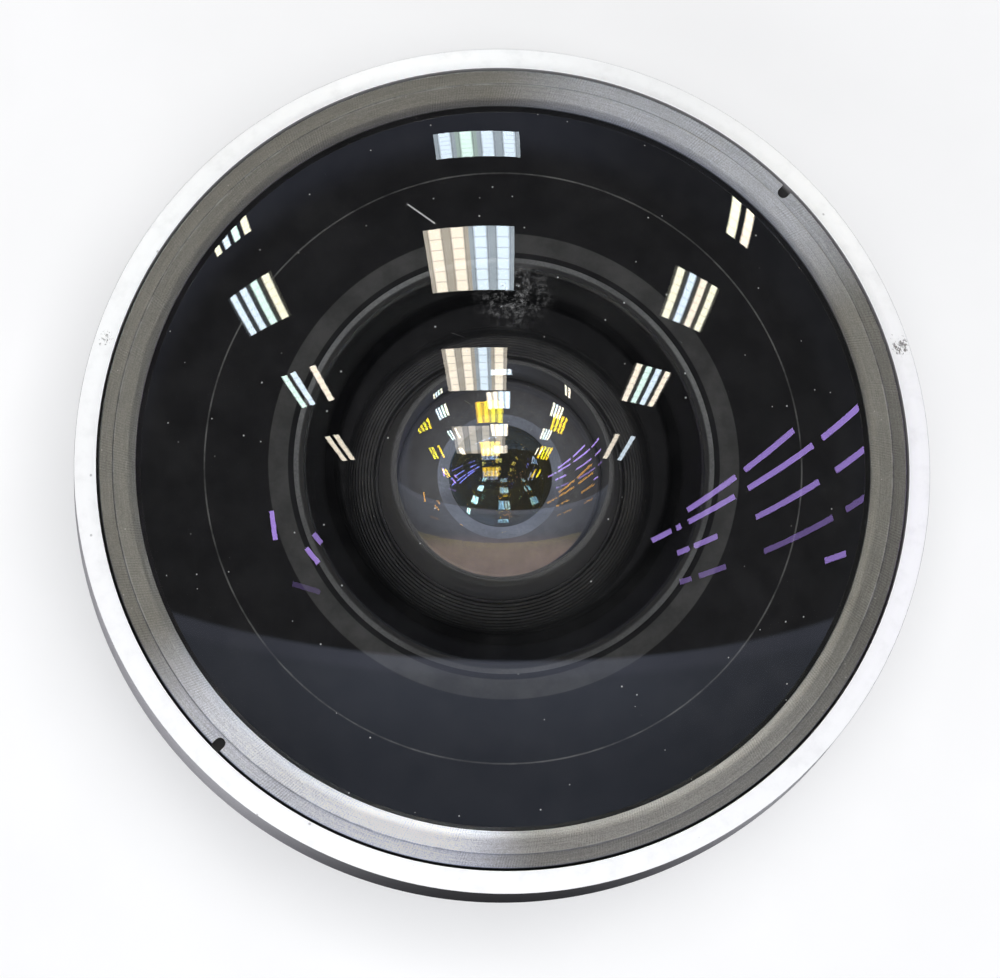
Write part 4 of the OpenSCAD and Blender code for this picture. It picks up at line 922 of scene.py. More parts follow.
makeRetainer(retainer)

# black ring with anti-glare grooves behind the front glass
baffle = {"flat": 1.3, "grooves": 9, "depth": 0.16, "land": 0.62, "footRise": 0.95, "width": 4.25, "edge": 0.08,
          "base": (0.0075, 0.0075, 0.0078), "other": (0.012, 0.012, 0.0117), "worn": (0.05, 0.05, 0.048),
          "dust": (0.35, 0.34, 0.32), "lit": (-8.0, 12.0, 1.0, 3.2), "rough": (0.34, 0.5), "shine": 0.3}


def makeBaffle(sizes):
    outR, z0, z1 = nodeSize("grooved_baffle")
    inR = outR - sizes["width"]
    topR = outR - sizes["flat"]
    footZ = z0 + sizes["footRise"]
    pitch = (topR - inR) / sizes["grooves"]
    rise = (z1 - footZ) / sizes["grooves"]
    funnel = []
    for i in range(sizes["grooves"]):
        r, z = inR + pitch * i, footZ + rise * i
        land = sizes["land"]
        funnel += [(r, z), (r + pitch * land * 0.5, z + rise * 0.3), (r + pitch * land, z + rise * 0.45),
                   (r + pitch * (land + 0.14), z + rise * 0.4 - sizes["depth"])]
    edge = sizes["edge"]
    outline = [(inR, z0), (outR, z0), (outR, z1 - edge), (outR - edge, z1), (topR + 0.02, z1)] + funnel[::-1]
    piece = turnPiece("groovedBaffle", outline, 192, smooth=25)
    dressPiece(piece, "lens_block", "grooved_baffle", "matt_black", baffleFinish(sizes))


def baffleFinish(look):
    material, tree, shader, at = startFinish("baffleBlack")
    cloud = grain(tree, at["place"], 0.3, 4.0, 0.6)
    colour = blendColour(tree, between(tree, cloud, 0.35, 0.65), look["base"], look["other"])
    # painted light: the ring is lighter towards the top
    colour = toned(tree, colour, between(tree, at["y"], *look["lit"]))
    colour = blendColour(tree, edgeWear(tree, at, 0.08, 0.6), colour, look["worn"])
    colour = blendColour(tree, times(tree, specks(tree, at, 1.6, 0.13, 0.06), 0.5), colour, look["dust"])
    fill(tree, shader, {"Base Color": colour, "Specular IOR Level": look["shine"],
                        "Roughness": between(tree, grain(tree, at["place"], 3.0), 0.3, 0.7, *look["rough"])})
    return material


makeBaffle(baffle)

# ring that holds the second glass, with a bevelled lip
secondRing = {"drop": 1.2, "width": 2.15, "bevelWidth": 0.65, "bevelHeight": 0.35, "wall": 1.35, "gap": 0.08,
              "edge": 0.1, "edgeSoft": 0.03, "base": (0.013, 0.013, 0.013), "worn": (0.02, 0.02, 0.0195),
              "rough": (0.4, 0.55)}


def makeSecondRing(sizes):
    outR, z0, topZ = nodeSize("glass_2_retainer")
    z1 = topZ - sizes["drop"]
    lipR = outR - sizes["width"]
    wallR = outR - sizes["wall"]
    crownZ = nodeSize("glass_2")[2] - secondGlass["crownDrop"]
    ball = secondGlass["ball"]
    lipZ, wallZ = (crownZ - sag(ball, r) + sizes["gap"] for r in (lipR, wallR))
    edge, soft = sizes["edge"], sizes["edgeSoft"]
    outline = [(wallR, z0), (outR, z0), (outR, z1 - edge), (outR - soft, z1 - soft), (outR - edge, z1)]
    outline += [(lipR + sizes["bevelWidth"] + 0.06, z1), (lipR + sizes["bevelWidth"] - 0.06, z1 - 0.04),
                (lipR + 0.05, z1 - sizes["bevelHeight"]), (lipR, z1 - sizes["bevelHeight"] - 0.05),
                (lipR, lipZ), (wallR, wallZ)]
    piece = turnPiece("secondGlassRing", outline, 192, smooth=25)
    dressPiece(piece, "lens_block", "glass_2_retainer", "turned_grey", secondRingFinish(sizes))


def secondRingFinish(look):
    material, tree, shader, at = startFinish("secondRingGrey")
    lines = latheLines(tree, at, 6.0)
    colour = toned(tree, look["base"], between(tree, lines, 0.3, 0.7, 0.85, 1.15))
    colour = blendColour(tree, edgeWear(tree, at, 0.08, 0.7), colour, look["worn"])
    fill(tree, shader, {"Base Color": colour, "Roughness": between(tree, lines, 0.3, 0.7, *look["rough"])})
    addBump(tree, shader, lines, 0.1, 0.02)
    return material


makeSecondRing(secondRing)
print("front pieces made")

# flared bell between the focus ring and the rim
bell = {"startR": 33.0, "inset": 1.0, "flareShare": 0.54, "wall": 1.6, "boreR": 33.45, "groove": 0.18, "grooveZ": 46.6,
        "edge": 0.08, "flareSteps": 24, "screwR": 0.85, "screwHole": 8, "screwTurns": (75, 195, 315), "screwZ": 48.6}


def makeBell(sizes):
    rimR, z0, z1 = nodeSize("front_bell")
    outR = rimR - sizes["inset"]
    collarZ = z0 + (z1 - z0) * sizes["flareShare"]
    flare = []
    for i in range(sizes["flareSteps"] + 1):
        share = i / sizes["flareSteps"]
        flare.append((sizes["startR"] + (outR - sizes["startR"]) * share * share, z0 + (collarZ - z0) * share))
    g, gz, edge = sizes["groove"], sizes["grooveZ"], sizes["edge"]
    collar = [(outR, gz), (outR - g, gz + g), (outR - g, gz + 2 * g), (outR, gz + 3 * g), (outR, z1 - edge),
              (outR - edge, z1)]
    inside = [(min(r - sizes["wall"], sizes["boreR"]), z) for r, z in flare[::-4]]
    outline = flare + collar + [(sizes["boreR"], z1)] + inside
    piece = turnPiece("frontBell", outline, 240)
    drillScrews(piece, sizes, outR, sizes["screwZ"])
    shadePiece(piece)
    dressPiece(piece, "lens_block", "front_bell", "anodised_black", metals["bellBlack"])


makeBell(bell)

# focus ring: plain band with the distances, then a ribbed grip
focusRing = {"wall": 2.4, "boreR": 28.55, "stepZ": 30.9, "grooves": 60, "share": 2, "parts": 5, "depth": 0.7,
             "gripBase": 3.8, "gripMargin": 1.2, "edge": 0.4, "soft": 0.11,
             "screwR": 0.85, "screwHole": 6, "screwTurns": (75, 195, 315), "screwRise": 2.0}


def makeFocusRing(sizes):
    outR, z0, z1 = nodeSize("focus_ring")
    edge = sizes["edge"]
    gripZ0, gripZ1 = z0 + sizes["gripBase"], z1 - sizes["gripMargin"]
    stepZ = sizes["stepZ"]
    outline = [(sizes["boreR"], z0), (outR - edge, z0), (outR, z0 + edge), (outR, gripZ0), (outR, gripZ1),
               (outR, z1 - edge), (outR - edge, z1), (outR - sizes["wall"], z1), (outR - sizes["wall"], stepZ),
               (sizes["boreR"], stepZ)]
    steps = sizes["grooves"] * sizes["parts"]
    piece = turnPiece("focusRing", outline, steps)
    openPiece(piece)

    def inGroove(middle, normal):
        r = math.hypot(middle.x, middle.y)
        if r < outR - 0.2 or not gripZ0 < middle.z < gripZ1:
            return False
        return (stepAt(middle, steps) + sizes["share"] / 2) % sizes["parts"] < sizes["share"]

    selectFaces(piece, inGroove)
    sinkFaces(outR, sizes["depth"])
    softenEdges(piece, sizes["soft"])
    drillScrews(piece, sizes, outR, z0 + sizes["screwRise"])
    shadePiece(piece)
    dressPiece(piece, "focus_control", "focus_ring", "anodised_black", metals["anodisedBlack"])


makeFocusRing(focusRing)

# fixed ring with the index and the depth marks, and the pin that stops the focus ring
scaleRing = {"boreR": 27.0, "lipR": 20.55, "lip": 1.4, "edge": 0.4, "soft": 0.12, "screwR": 0.85, "screwHole": 8,
             "screwTurns": (30, 150, 270), "screwRise": 1.6, "pinR": 0.6, "pinTurn": 200, "pinCircle": 23.525,
             "pinSink": 0.1, "pinSoft": 0.08, "gap": 0.3}


def makeScaleRing(sizes):
    outR, z0, topZ = nodeSize("scale_ring")
    z1 = nodeSize("focus_ring")[1] - sizes["gap"]
    edge = sizes["edge"]
    outline = [(sizes["boreR"], z0), (outR - edge, z0), (outR, z0 + edge), (outR, z1 - edge), (outR - edge, z1),
               (sizes["lipR"], z1), (sizes["lipR"], z1 - sizes["lip"]), (sizes["boreR"], z1 - sizes["lip"])]
    piece = turnPiece("scaleRing", outline, 240)
    softenEdges(piece, sizes["soft"])
    drillScrews(piece, sizes, outR, z0 + sizes["screwRise"])
    sink = sizes["pinSink"]
    pinTurn = math.radians(sizes["pinTurn"])
    pin = post(sizes["pinR"], topZ - z1 + sink, sizes["pinCircle"], pinTurn, (topZ + z1 - sink) / 2, 32)
    softenEdges(pin, sizes["pinSoft"])
    joinPieces([piece, pin], "scaleRing")
    shadePiece(piece)
    dressPiece(piece, "mount", "scale_ring", "anodised_black", metals["anodisedBlack"])


makeScaleRing(scaleRing)

# aperture ring: finger scallops at the rear, f-numbers in front of them
apertureRing = {"boreR": 27.0, "edge": 0.4, "scallops": 24, "scallopR": 3.0, "scallopDepth": 0.7, "scallopLength": 4.0,
                "soft": 0.12, "headR": 1.5, "headTurn": 255, "headZ": 15.7, "headDepth": 1.1,
                "clickTurn": 160, "clicks": 6, "clickStep": 8, "grooveR": 0.9, "grooveDepth": 0.2, "grooveLength": 2.4}


def makeApertureRing(sizes):
    outR, z0, z1 = nodeSize("aperture_ring")
    edge = sizes["edge"]
    outline = [(sizes["boreR"], z0), (outR - edge, z0), (outR, z0 + edge), (outR, z1 - edge), (outR - edge, z1),
               (sizes["boreR"], z1)]
    piece = turnPiece("apertureRing", outline, 240)
    away = outR + sizes["scallopR"] - sizes["scallopDepth"]
    cutters = [post(sizes["scallopR"], 2 * sizes["scallopLength"], away, math.tau * (i + 0.5) / sizes["scallops"], z0)
               for i in range(sizes["scallops"])]
    cutAway(piece, joinPieces(cutters, "scallopCutter"))
    softenEdges(piece, sizes["soft"], 35)
    headTurn = math.radians(sizes["headTurn"])
    cutAway(piece, rodAlong(sizes["headR"], 2 * sizes["headDepth"], (outR, sizes["headZ"]), headTurn))
    # grooves that the click ball drops into, one a stop
    ballZ = sum(nodeSize("click_ball")[1:]) / 2
    away = sizes["boreR"] + sizes["grooveDepth"] - sizes["grooveR"]
    turns = [math.radians(sizes["clickTurn"] - sizes["clickStep"] * i) for i in range(sizes["clicks"])]
    cutters = [post(sizes["grooveR"], sizes["grooveLength"], away, turn, ballZ) for turn in turns]
    cutAway(piece, joinPieces(cutters, "grooveCutter"))
    shadePiece(piece)
    dressPiece(piece, "aperture_control", "aperture_ring", "anodised_black", metals["anodisedBlack"])


makeApertureRing(apertureRing)

# mount: thread with its helical ridge, flange, neck
mountBase = {"boreR": 18.4, "threadR": 21.0, "coreR": 20.42, "pitch": 1.0, "lead": 0.5, "threadEnd": 3.7,
             "threadEdge": 0.1, "reliefR": 20.3, "landR": 21.3, "land": 0.3, "flangeZ": 4.5, "flangeTop": 10.5,
             "edge": 0.4, "neckR": 26.95, "neckInR": 25.35,
             "floorZ": 7.5, "screwCircle": 23.1, "screwTurns": (45, 135, 225, 315), "recessR": 1.5, "recess": 1.2,
             "ballTurn": 160, "ballFit": 0.04, "forkTurns": (246.6, 303.4), "forkRoom": 0.2, "soft": 0.08,
             "ridgeSink": 0.05, "tooth": (0.38, 0.5, 0.88), "windSteps": 160}


def makeMount(sizes):
    flangeR, z0, z1 = nodeSize("mount_base")
    edge, core, soft, end = sizes["edge"], sizes["coreR"], sizes["threadEdge"], sizes["threadEnd"]
    fz, ft, landZ = sizes["flangeZ"], sizes["flangeTop"], sizes["flangeZ"] + sizes["land"]
    neckR, neckInR, floorZ = sizes["neckR"], sizes["neckInR"], sizes["floorZ"]
    outline = [(sizes["boreR"], z0), (core - soft, z0), (core, z0 + soft), (core, end), (sizes["reliefR"], end + soft),
               (sizes["reliefR"], landZ), (sizes["landR"], landZ), (sizes["landR"], fz), (flangeR - edge, fz),
               (flangeR, fz + edge), (flangeR, ft - edge), (flangeR - edge, ft), (neckR, ft), (neckR, z1),
               (neckInR, z1), (neckInR, floorZ), (sizes["boreR"], floorZ)]
    piece = turnPiece("mountBase", outline, 240)
    softenEdges(piece, sizes["soft"])
    for turn in sizes["screwTurns"]:
        cutAway(piece, post(sizes["recessR"], 2 * sizes["recess"], sizes["screwCircle"], math.radians(turn), fz))
    # bore that the click ball slides in
    ballZ0, ballZ1 = nodeSize("click_ball")[1:]
    neckWall = neckR - neckInR
    cutAway(piece, rodAlong((ballZ1 - ballZ0) / 2 + sizes["ballFit"], 2 * neckWall,
                            (neckR - neckWall / 2, (ballZ0 + ballZ1) / 2), math.radians(sizes["ballTurn"])))
    # slot that the aperture fork swings in
    forkZ0, forkZ1 = nodeSize("aperture_fork")[1:]
    room = sizes["forkRoom"]
    cutAway(piece, bentBlock((neckInR - 1, neckR + 1), (forkZ0 - room, forkZ1 + room), sizes["forkTurns"]))
    ridge = makeThread(sizes, z0)
    joinPieces([piece, ridge], "mountBase")
    shadePiece(piece)
    dressPiece(piece, "mount", "mount_base", "mount_steel", metals["mountAluminium"])


def makeThread(sizes, z0):
    # a small tooth outline wound into a helix, its ends closed
    pitch, core, crest = sizes["pitch"], sizes["coreR"] - sizes["ridgeSink"], sizes["threadR"]
    base = z0 + sizes["lead"] * 0.6
    tooth = [(core, base)] + [(r, base + share * pitch) for r, share in zip((crest, crest, core), sizes["tooth"])]
    ridge = drawOutline("threadRidge", tooth)
    mergeDoubles()
    closePiece()
    wind = ridge.modifiers.new("wind", "SCREW")
    turns = math.floor((sizes["threadEnd"] - base - pitch) / pitch * 8) / 8
    wind.axis = "Z"
    wind.angle = math.tau * turns
    wind.screw_offset = pitch * turns * mm
    wind.steps = wind.render_steps = int(sizes["windSteps"] * turns)
    wind.use_merge_vertices = False
    bpy.ops.object.modifier_apply(modifier=wind.name)
    openPiece(ridge, "EDGE")
    selectAll()
    bpy.ops.mesh.fill_holes(sides=0)
    closeShell()
    return ridge


makeMount(mountBase)
print("outer rings made")

# slotted screws, each shaped and then turned to its place
screws = {"setR": 0.8, "headR": 1.4, "slot": 0.35, "slotDepth": 0.4, "soft": 0.1, "sink": 0.25, "bellLength": 2.5,
          "focusLength": 4.0, "scaleLength": 3.5, "forkLength": 0.8,
          "mountLength": 0.95, "mountSink": 0.2, "mountTwist": 25}


def makeScrew(r, length, place, turn, sizes):
    # a rod on a radius with a driver slot in its outer end
    screw = rodAlong(r, length, (place[0] - length / 2, place[1]), 0, 36)
    softenEdges(screw, sizes["soft"])
    clearSelection()
    bpy.ops.mesh.primitive_cube_add(size=1, location=(place[0] * mm, 0, place[1] * mm))
    cutter = bpy.context.object
    cutter.scale = (2 * sizes["slotDepth"] * mm, sizes["slot"] * mm, 4 * r * mm)
    applyPlace()
    cutAway(screw, cutter)
    pickPiece(screw)
    screw.rotation_euler.z = turn
    applyPlace()
    shadePiece(screw)
    return screw


def fitScrews(parts, name, body, node):
    dressPiece(joinPieces(parts, name), body, node, "screw_steel", metals["screwSteel"])


def makeSetScrews(node, body, name, outR, length, height, turns):
    place = (outR - screws["sink"], height)
    parts = [makeScrew(screws["setR"], length, place, math.radians(turn), screws) for turn in turns]
    fitScrews(parts, name, body, node)


def makeScrews():
    makeSetScrews("front_bell_screws", "lens_block", "bellScrews", nodeSize("front_bell")[0] - bell["inset"],
                  screws["bellLength"], bell["screwZ"], bell["screwTurns"])
    focusR, focusZ0 = nodeSize("focus_ring")[:2]
    makeSetScrews("focus_ring_screws", "focus_control", "focusScrews", focusR, screws["focusLength"],
                  focusZ0 + focusRing["screwRise"], focusRing["screwTurns"])
    scaleR, scaleZ0 = nodeSize("scale_ring")[:2]
    makeSetScrews("scale_ring_screws", "mount", "scaleScrews", scaleR, screws["scaleLength"],
                  scaleZ0 + scaleRing["screwRise"], scaleRing["screwTurns"])
    place = (nodeSize("aperture_ring")[0] - screws["sink"], apertureRing["headZ"])
    screw = makeScrew(screws["headR"], screws["forkLength"], place, math.radians(apertureRing["headTurn"]), screws)
    fitScrews([screw], "forkScrew", "aperture_control", "aperture_fork_screw")


makeScrews()


def makeMountScrews(sizes):
    parts = []
    for turn in sizes["screwTurns"]:
        screw = makeScrew(screws["headR"], screws["mountLength"], (0, 0), 0, screws)
        pickPiece(screw)
        screw.rotation_euler = (0, math.pi / 2, 0)
        applyPlace()
        screw.rotation_euler = (0, 0, math.radians(turn + screws["mountTwist"]))
        angle = math.radians(turn)
        screw.location = (sizes["screwCircle"] * math.cos(angle) * mm, sizes["screwCircle"] * math.sin(angle) * mm,
                          (sizes["flangeZ"] + screws["mountSink"]) * mm)
        applyPlace()
        parts.append(screw)
    fitScrews(parts, "mountScrews", "mount", "mount_screws")


makeMountScrews(mountBase)
print("screws made")

# painted numbers and marks on the rings
marks = {"apertures": ("3.5", "4", "5.6", "8", "11", "16"), "apertureStep": 8, "apertureZ": 16.75,
         "apertureHeight": 1.9, "nearest": 0.22, "focusTurn": 120,
         "distances": (("3", 3.0), ("1", 1.0), ("0.5", 0.5), ("0.3", 0.3), ("0.22", 0.22)),
         "distanceZ": 28.35, "distanceHeight": 1.8, "index": 90, "depthTurns": (8, 16, 24, 32),
         "thick": 0.05, "lift": 0.02, "textScale": 1.36, "depthLine": (0.22, 1.5), "depthDrop": 1.35,
         "depthHeight": 1.5, "depthNumberDrop": 0.55, "indexWidth": 0.32, "indexMargin": 1.1}


def markPaint(name, colour, other):
    material, tree, shader, at = startFinish(name)
    worn = between(tree, grain(tree, at["place"], 2.5, 6.0, 0.7), 0.45, 0.7)
    fill(tree, shader, {"Base Color": blendColour(tree, worn, colour, other),
                        "Roughness": between(tree, worn, 0.0, 1.0, 0.45, 0.65)})
    return material


whitePaint = markPaint("whitePaint", (0.8, 0.8, 0.77), (0.62, 0.61, 0.57))
redPaint = markPaint("redPaint", (0.6, 0.05, 0.035), (0.42, 0.04, 0.03))


def wrapOnRing(piece, r, height, turn, spin=0.0):
    # a flat mark is stood up on the ring, wrapped round it and given the thickness of paint
    pickPiece(piece)
    piece.rotation_euler = (0, 0, spin)
    applyPlace()
    piece.matrix_world = (Matrix.Rotation(turn, 4, "Z") @ Matrix.Translation((r * mm, 0, height * mm))
                          @ Matrix(((0, 0, 1, 0), (1, 0, 0, 0), (0, 1, 0, 0), (0, 0, 0, 1))))
    applyPlace()
    openPiece(piece)
    selectAll()
    mergeDoubles()
    bpy.ops.mesh.subdivide(number_cuts=1)
    closePiece()
    wrapR = (r + marks["lift"]) * mm
    for corner in piece.data.vertices:
        share = wrapR / math.hypot(corner.co.x, corner.co.y)
        corner.co.x *= share
        corner.co.y *= share
    thicken = piece.modifiers.new("thicken", "SOLIDIFY")
    thicken.thickness = marks["thick"] * mm
    thicken.offset = -1
    bpy.ops.object.modifier_apply(modifier=thicken.name)
    openPiece(piece)
    closeShell()
    return piece


def makeNumber(words, tall, r, height, turn, spin=0.0):
    clearSelection()
    bpy.ops.object.text_add(location=(0, 0, 0))
    text = bpy.context.object
    text.data.body = words
    text.data.size = tall * marks["textScale"] * mm
    text.data.align_x = "CENTER"
    text.data.align_y = "CENTER"
    text.data.resolution_u = 4
    bpy.ops.object.convert(target="MESH")
    return wrapOnRing(bpy.context.object, r, height, math.radians(turn), spin)


def makeMark(wide, tall, r, height, turn):
    clearSelection()
    bpy.ops.mesh.primitive_plane_add(size=1, location=(0, 0, 0))
    mark = bpy.context.object
    mark.scale = (wide * mm, tall * mm, 1)
    applyPlace()
    openPiece(mark)
    selectAll()
    bpy.ops.mesh.subdivide(number_cuts=2)
    closePiece()
    return wrapOnRing(mark, r, height, math.radians(turn))


def paintOn(parts, name, body, paint):
    dressPiece(joinPieces(parts, name), body, None, "anodised_black", paint)


def makeMarks(look):
    top = look["index"]
    apertureR = nodeSize("aperture_ring")[0]
    parts = [makeNumber(words, look["apertureHeight"], apertureR, look["apertureZ"], top - i * look["apertureStep"])
             for i, words in enumerate(look["apertures"])]
    paintOn(parts, "apertureNumbers", "aperture_control", whitePaint)
    focusR, focusZ0 = nodeSize("focus_ring")[:2]
    # an eight on its side stands for infinity
    parts = [makeNumber("8", look["distanceHeight"], focusR, look["distanceZ"], top, math.pi / 2)]
    for words, far in look["distances"]:
        parts.append(makeNumber(words, look["distanceHeight"], focusR, look["distanceZ"],
                                top - look["focusTurn"] * look["nearest"] / far))
    paintOn(parts, "distanceNumbers", "focus_control", whitePaint)
    scaleR, scaleZ0 = nodeSize("scale_ring")[:2]
    scaleTop = focusZ0 - scaleRing["gap"]
    middle = (scaleZ0 + scaleTop) / 2
    parts = []
    for turn, words in zip(look["depthTurns"], look["apertures"][2:]):
        for place in (top - turn, top + turn):
            parts.append(makeMark(*look["depthLine"], scaleR, scaleTop - look["depthDrop"], place))
            parts.append(makeNumber(words, look["depthHeight"], scaleR, middle - look["depthNumberDrop"], place))
    paintOn(parts, "depthMarks", "mount", whitePaint)
    mark = makeMark(look["indexWidth"], scaleTop - scaleZ0 - look["indexMargin"], scaleR, middle, top)
    paintOn([mark], "indexMark", "mount", redPaint)


makeMarks(marks)
print("marks painted")

# screw-in holder of the rear filter, with a finely ribbed edge
filterRing = {"lip": 1.0, "filterR": 10.6, "noseR": 11.5, "fit": 0.05, "edge": 0.3, "soft": 0.15,
              "ribs": 90, "ribDepth": 0.12, "ribMargin": 0.2, "ribParts": 3}


def makeFilterRing(sizes):
    outR, z0, z1 = nodeSize("rear_filter_ring")
    filterZ0, filterZ1 = nodeSize("rear_filter")[1:]
    fit, edge, soft = sizes["fit"], sizes["edge"], sizes["soft"]
    lipR, pocketR, threadR = sizes["filterR"] - sizes["lip"], sizes["filterR"] + fit, sizes["noseR"] + fit
    ribZ0, ribZ1 = z0 + edge + soft, z1 - sizes["ribMargin"]
    outline = [(lipR, z0), (outR - edge, z0), (outR, z0 + edge), (outR, ribZ0), (outR, ribZ1), (outR - soft, z1),
               (threadR, z1), (threadR, filterZ1 + fit), (pocketR, filterZ1 + fit), (pocketR, filterZ0 - fit),
               (lipR, filterZ0 - fit)]
    steps = sizes["ribs"] * sizes["ribParts"]
    piece = turnPiece("rearFilterRing", outline, steps)
    openPiece(piece)

    def inRib(middle, normal):
        if math.hypot(middle.x, middle.y) < outR - 0.05 or not ribZ0 < middle.z < ribZ1:
            return False
        return stepAt(middle, steps) % sizes["ribParts"] == 0

    selectFaces(piece, inRib)
    sinkFaces(outR, sizes["ribDepth"])
    shadePiece(piece)
    dressPiece(piece, "lens_block", "rear_filter_ring", "anodised_black", metals["anodisedBlack"])


makeFilterRing(filterRing)


def dressInner():
    # the inner pieces keep their CAD shapes and take the finish of their slot
    count = 0
    for name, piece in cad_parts.items():
        if piece.hide_render:
            continue
        slot = piece.data.materials[0].name.split(".")[0] if piece.data.materials else "matt_black"
        finish = metals[slotFinish.get(slot, "mattBlack")]
        piece.data.materials.clear()
        piece.data.materials.append(finish)
        count += 1
        print("  inner piece", name, slot, finish.name)
    print("inner pieces dressed:", count)


dressInner()


def placeCamera(view):
    rimR, _, rimZ = nodeSize("front_rim")
    turn, lift = math.radians(view["azimuth"]), math.radians(view["elevation"])
    back = Vector((math.sin(turn) * math.cos(lift), -math.cos(turn) * math.cos(lift), math.sin(lift)))
    side = Vector((0, 1, 0)).cross(back).normalized()
    up = back.cross(side)
    width, height = view["imageSize"]
    pixel = rimR * mm / view["rimRadius"]
    aim = Vector((0, 0, rimZ * mm))
    aim -= side * (view["rimCentre"][0] - width / 2) * pixel + up * (height / 2 - view["rimCentre"][1]) * pixel
    data = bpy.data.cameras.new("photoCamera")
    data.sensor_width = view["sensor"]
    data.lens = view["sensor"] * view["distance"] / (pixel * width)
    camera = bpy.data.objects.new("photoCamera", data)
    scene.collection.objects.link(camera)
    camera.matrix_world = (Matrix.Translation(aim + back * view["distance"])
                           @ Matrix((side, up, back)).transposed().to_4x4())
    scene.camera = camera


placeCamera(photoView)


def glowFinish(name, colour, strength, louvres=0):
    # a plain glow, softened at the sides of a tube and crossed by thin louvres
    material = bpy.data.materials.new(name)
    material.use_nodes = True
    tree = material.node_tree
    tree.nodes.clear()
    level = strength
    if louvres:
        uv = addNode(tree, "SeparateXYZ", {0: addNode(tree, "TexCoord").outputs["UV"]})
        aside = absolute(tree, minus(tree, uv.outputs[0], 0.5))
        part = calc(tree, "FRACT", times(tree, uv.outputs[1], float(louvres)))
        bar = absolute(tree, minus(tree, part, 0.5))
        level = times(tree, between(tree, aside, 0.5, 0.3, 0.25, 1.0), between(tree, bar, 0.5, 0.4, 0.65, 1.0))
        level = times(tree, level, strength)
    glow = addNode(tree, "Emission", {"Color": colour + (1.0,), "Strength": level})
    out = addNode(tree, "OutputMaterial")
    tree.links.new(glow.outputs[0], out.inputs["Surface"])
    return material


def hangLights(look):
    tilt = math.radians(look["tilt"])
    up = Vector((0, math.cos(tilt), math.sin(tilt)))
    deep = Vector((0, -math.sin(tilt), math.cos(tilt)))
    across = Vector((1, 0, 0))
    glows = {}

    def hangSheet(u, v, wide, long, name, colour, strength, louvres):
        clearSelection()
        bpy.ops.mesh.primitive_plane_add(size=1, location=(0, 0, 0))
        sheet = bpy.context.object
        spread = Matrix((across * wide, deep * long, -up)).transposed().to_4x4()
        place = Matrix.Translation((up + across * u + deep * v) * look["height"])
        sheet.matrix_world = place @ Matrix.Scale(look["height"], 4) @ spread
        applyPlace()
        key = (name, round(strength, 3))
        if key not in glows:
            glows[key] = glowFinish(name, colour, strength, louvres)
        sheet.data.materials.append(glows[key])
        return sheet

    sheets = []
    for u, v, wide, long, tubes, level, gap in look["panels"]:
        pitch = wide / len(tubes)
        for i, letter in enumerate(tubes):
            if letter == ".":
                continue
            colour = look["colours"][letter]
            place = u + (i + 0.5) * pitch - wide / 2
            sheets.append(hangSheet(place, v, pitch * look["tubeShare"], long, "tube" + letter.upper(), colour,
                                    look["strength"] * level, look["louvres"]))
            for side in (-look["gapShift"], look["gapShift"]) if gap else ():
                sheets.append(hangSheet(place + side * pitch, v, pitch * look["gapShare"], long,
                                        "tubeGap" + letter.upper(), colour, look["strength"] * level * gap, 0))
    lights = joinPieces(sheets, "ceilingLights")
    lights.visible_camera = False
    lights.visible_diffuse = False


hangLights(ceiling)


def fade(limits):
    # full up to the first place, down to a share at the second
    start, end, share = limits
    return start, end, 1.0, share


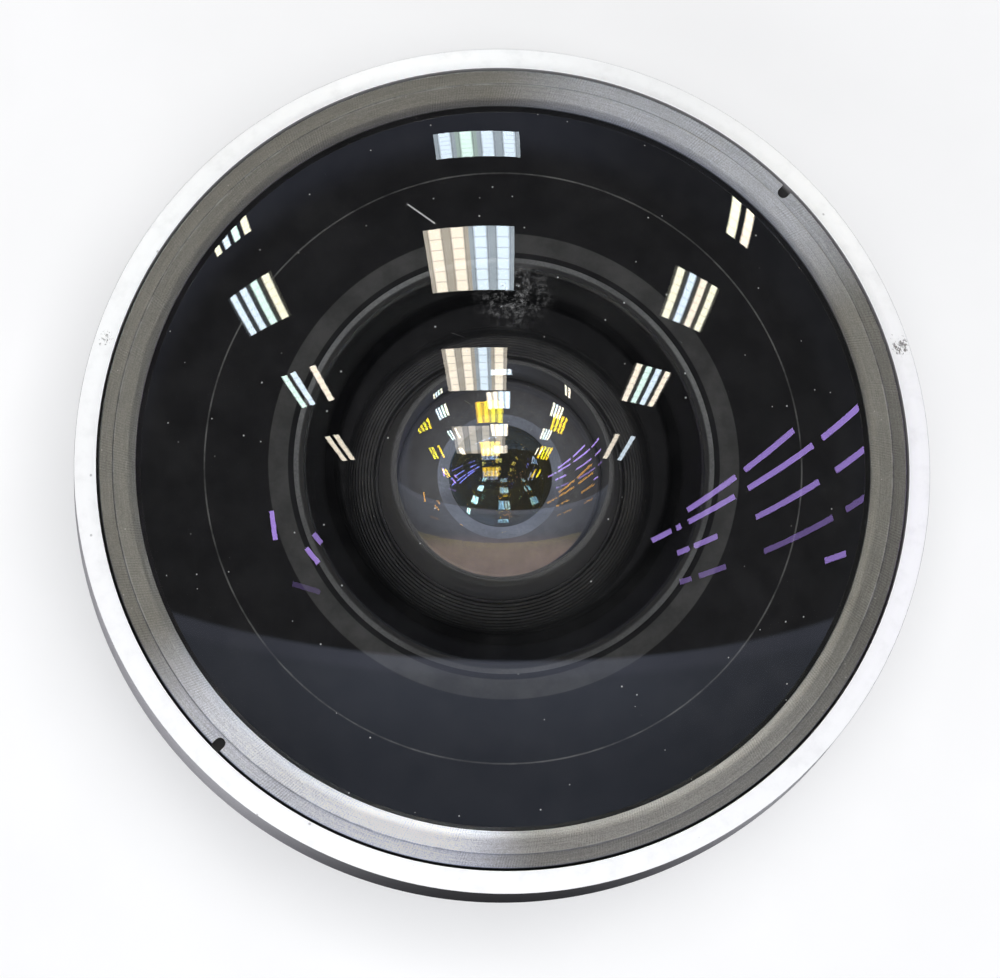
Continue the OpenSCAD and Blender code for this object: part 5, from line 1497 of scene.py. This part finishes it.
def lightRoom(look):
    for name, power, size, place in look["lamps"]:
        data = bpy.data.lights.new(name, "AREA")
        data.energy = power
        data.size = size
        lamp = bpy.data.objects.new(name, data)
        scene.collection.objects.link(lamp)
        lamp.location = place
        lamp.rotation_euler = (Vector(look["lampAim"]) - lamp.location).to_track_quat("-Z", "Y").to_euler()
        lamp.visible_glossy = False
        lamp.visible_transmission = False
    world = bpy.data.worlds.new("paleRoom")
    scene.world = world
    world.use_nodes = True
    tree = world.node_tree
    way = addNode(tree, "TexCoord").outputs["Generated"]
    height = addNode(tree, "VectorMath", {0: way, 1: look["horizon"]}, operation="DOT_PRODUCT").outputs["Value"]
    split = addNode(tree, "SeparateXYZ", {0: way})
    wallShare = times(tree, between(tree, split.outputs[2], *look["wallHeight"]),
                      between(tree, split.outputs[0], *fade(look["wallSide"])))
    colour = blendColour(tree, wallShare, look["dark"], look["wall"])
    nearer = between(tree, height, look["edgeLevel"], look["nearLevel"])
    table = blendColour(tree, nearer, look["tableFar"], look["tableNear"])
    edge = between(tree, height, look["edgeLevel"] - 0.02, look["edgeLevel"] + 0.02)
    table = blendColour(tree, edge, table, look["tableEdge"])
    dim = between(tree, absolute(tree, split.outputs[0]), *fade(look["tableSide"]))
    table = toned(tree, table, dim)
    below = between(tree, height, look["tableLevel"] + 0.01, look["tableLevel"] - 0.01)
    tree.links.new(blendColour(tree, below, colour, table), tree.nodes["Background"].inputs["Color"])


lightRoom(room)


def hangWindows(look):
    for start, end, panes, level in look["strips"]:
        start, end = Vector(start), Vector(end)
        parts = []
        for first, last in panes:
            corners = [start.slerp(end, share) * look["distance"] for share in (first, last)]
            middle = (corners[0] + corners[1]) / 2
            along = corners[1] - corners[0]
            normal = -middle.normalized()
            across = normal.cross(along).normalized()
            clearSelection()
            bpy.ops.mesh.primitive_plane_add(size=1, location=middle)
            pane = bpy.context.object
            spread = Matrix((along, across * look["width"], normal)).transposed().to_4x4()
            pane.matrix_world = Matrix.Translation(middle) @ spread
            applyPlace()
            parts.append(pane)
        strip = joinPieces(parts, "windowStrip")
        strip.data.materials.append(glowFinish("windowStrip", look["colour"], look["strength"] * level))
        strip.visible_camera = False
        strip.visible_diffuse = False


hangWindows(windows)


def layFloor(look):
    clearSelection()
    bpy.ops.mesh.primitive_plane_add(size=look["size"], location=(0, 0, -look["drop"]))
    floor = bpy.context.object
    floor.name = floor.data.name = "paleFloor"
    applyPlace()
    material, tree, shader = startMaterial("palePaper")
    coords = addNode(tree, "TexCoord")
    fibre = addNode(tree, "TexNoise", {"Vector": coords.outputs["Object"], "Scale": 60.0, "Detail": 4.0}).outputs[0]
    soft = tuple(c * look["fibre"] for c in look["colour"])
    paper = blendColour(tree, between(tree, fibre, 0.3, 0.7), look["colour"], soft)
    # seen directly or mirrored, the paper keeps its paleness; through the glass it is as dark as the room
    path = addNode(tree, "LightPath")
    seen = calc(tree, "MAXIMUM", path.outputs["Is Camera Ray"], path.outputs["Is Glossy Ray"])
    paper = blendColour(tree, path.outputs["Is Transmission Ray"], paper, look["throughGlass"])
    fill(tree, shader, {"Base Color": paper, "Roughness": look["rough"], "Specular IOR Level": look["shine"],
                        "Emission Color": look["glow"] + (1.0,), "Emission Strength": seen})
    floor.data.materials.append(material)


layFloor(floorLook)
print("camera, lights and floor set")
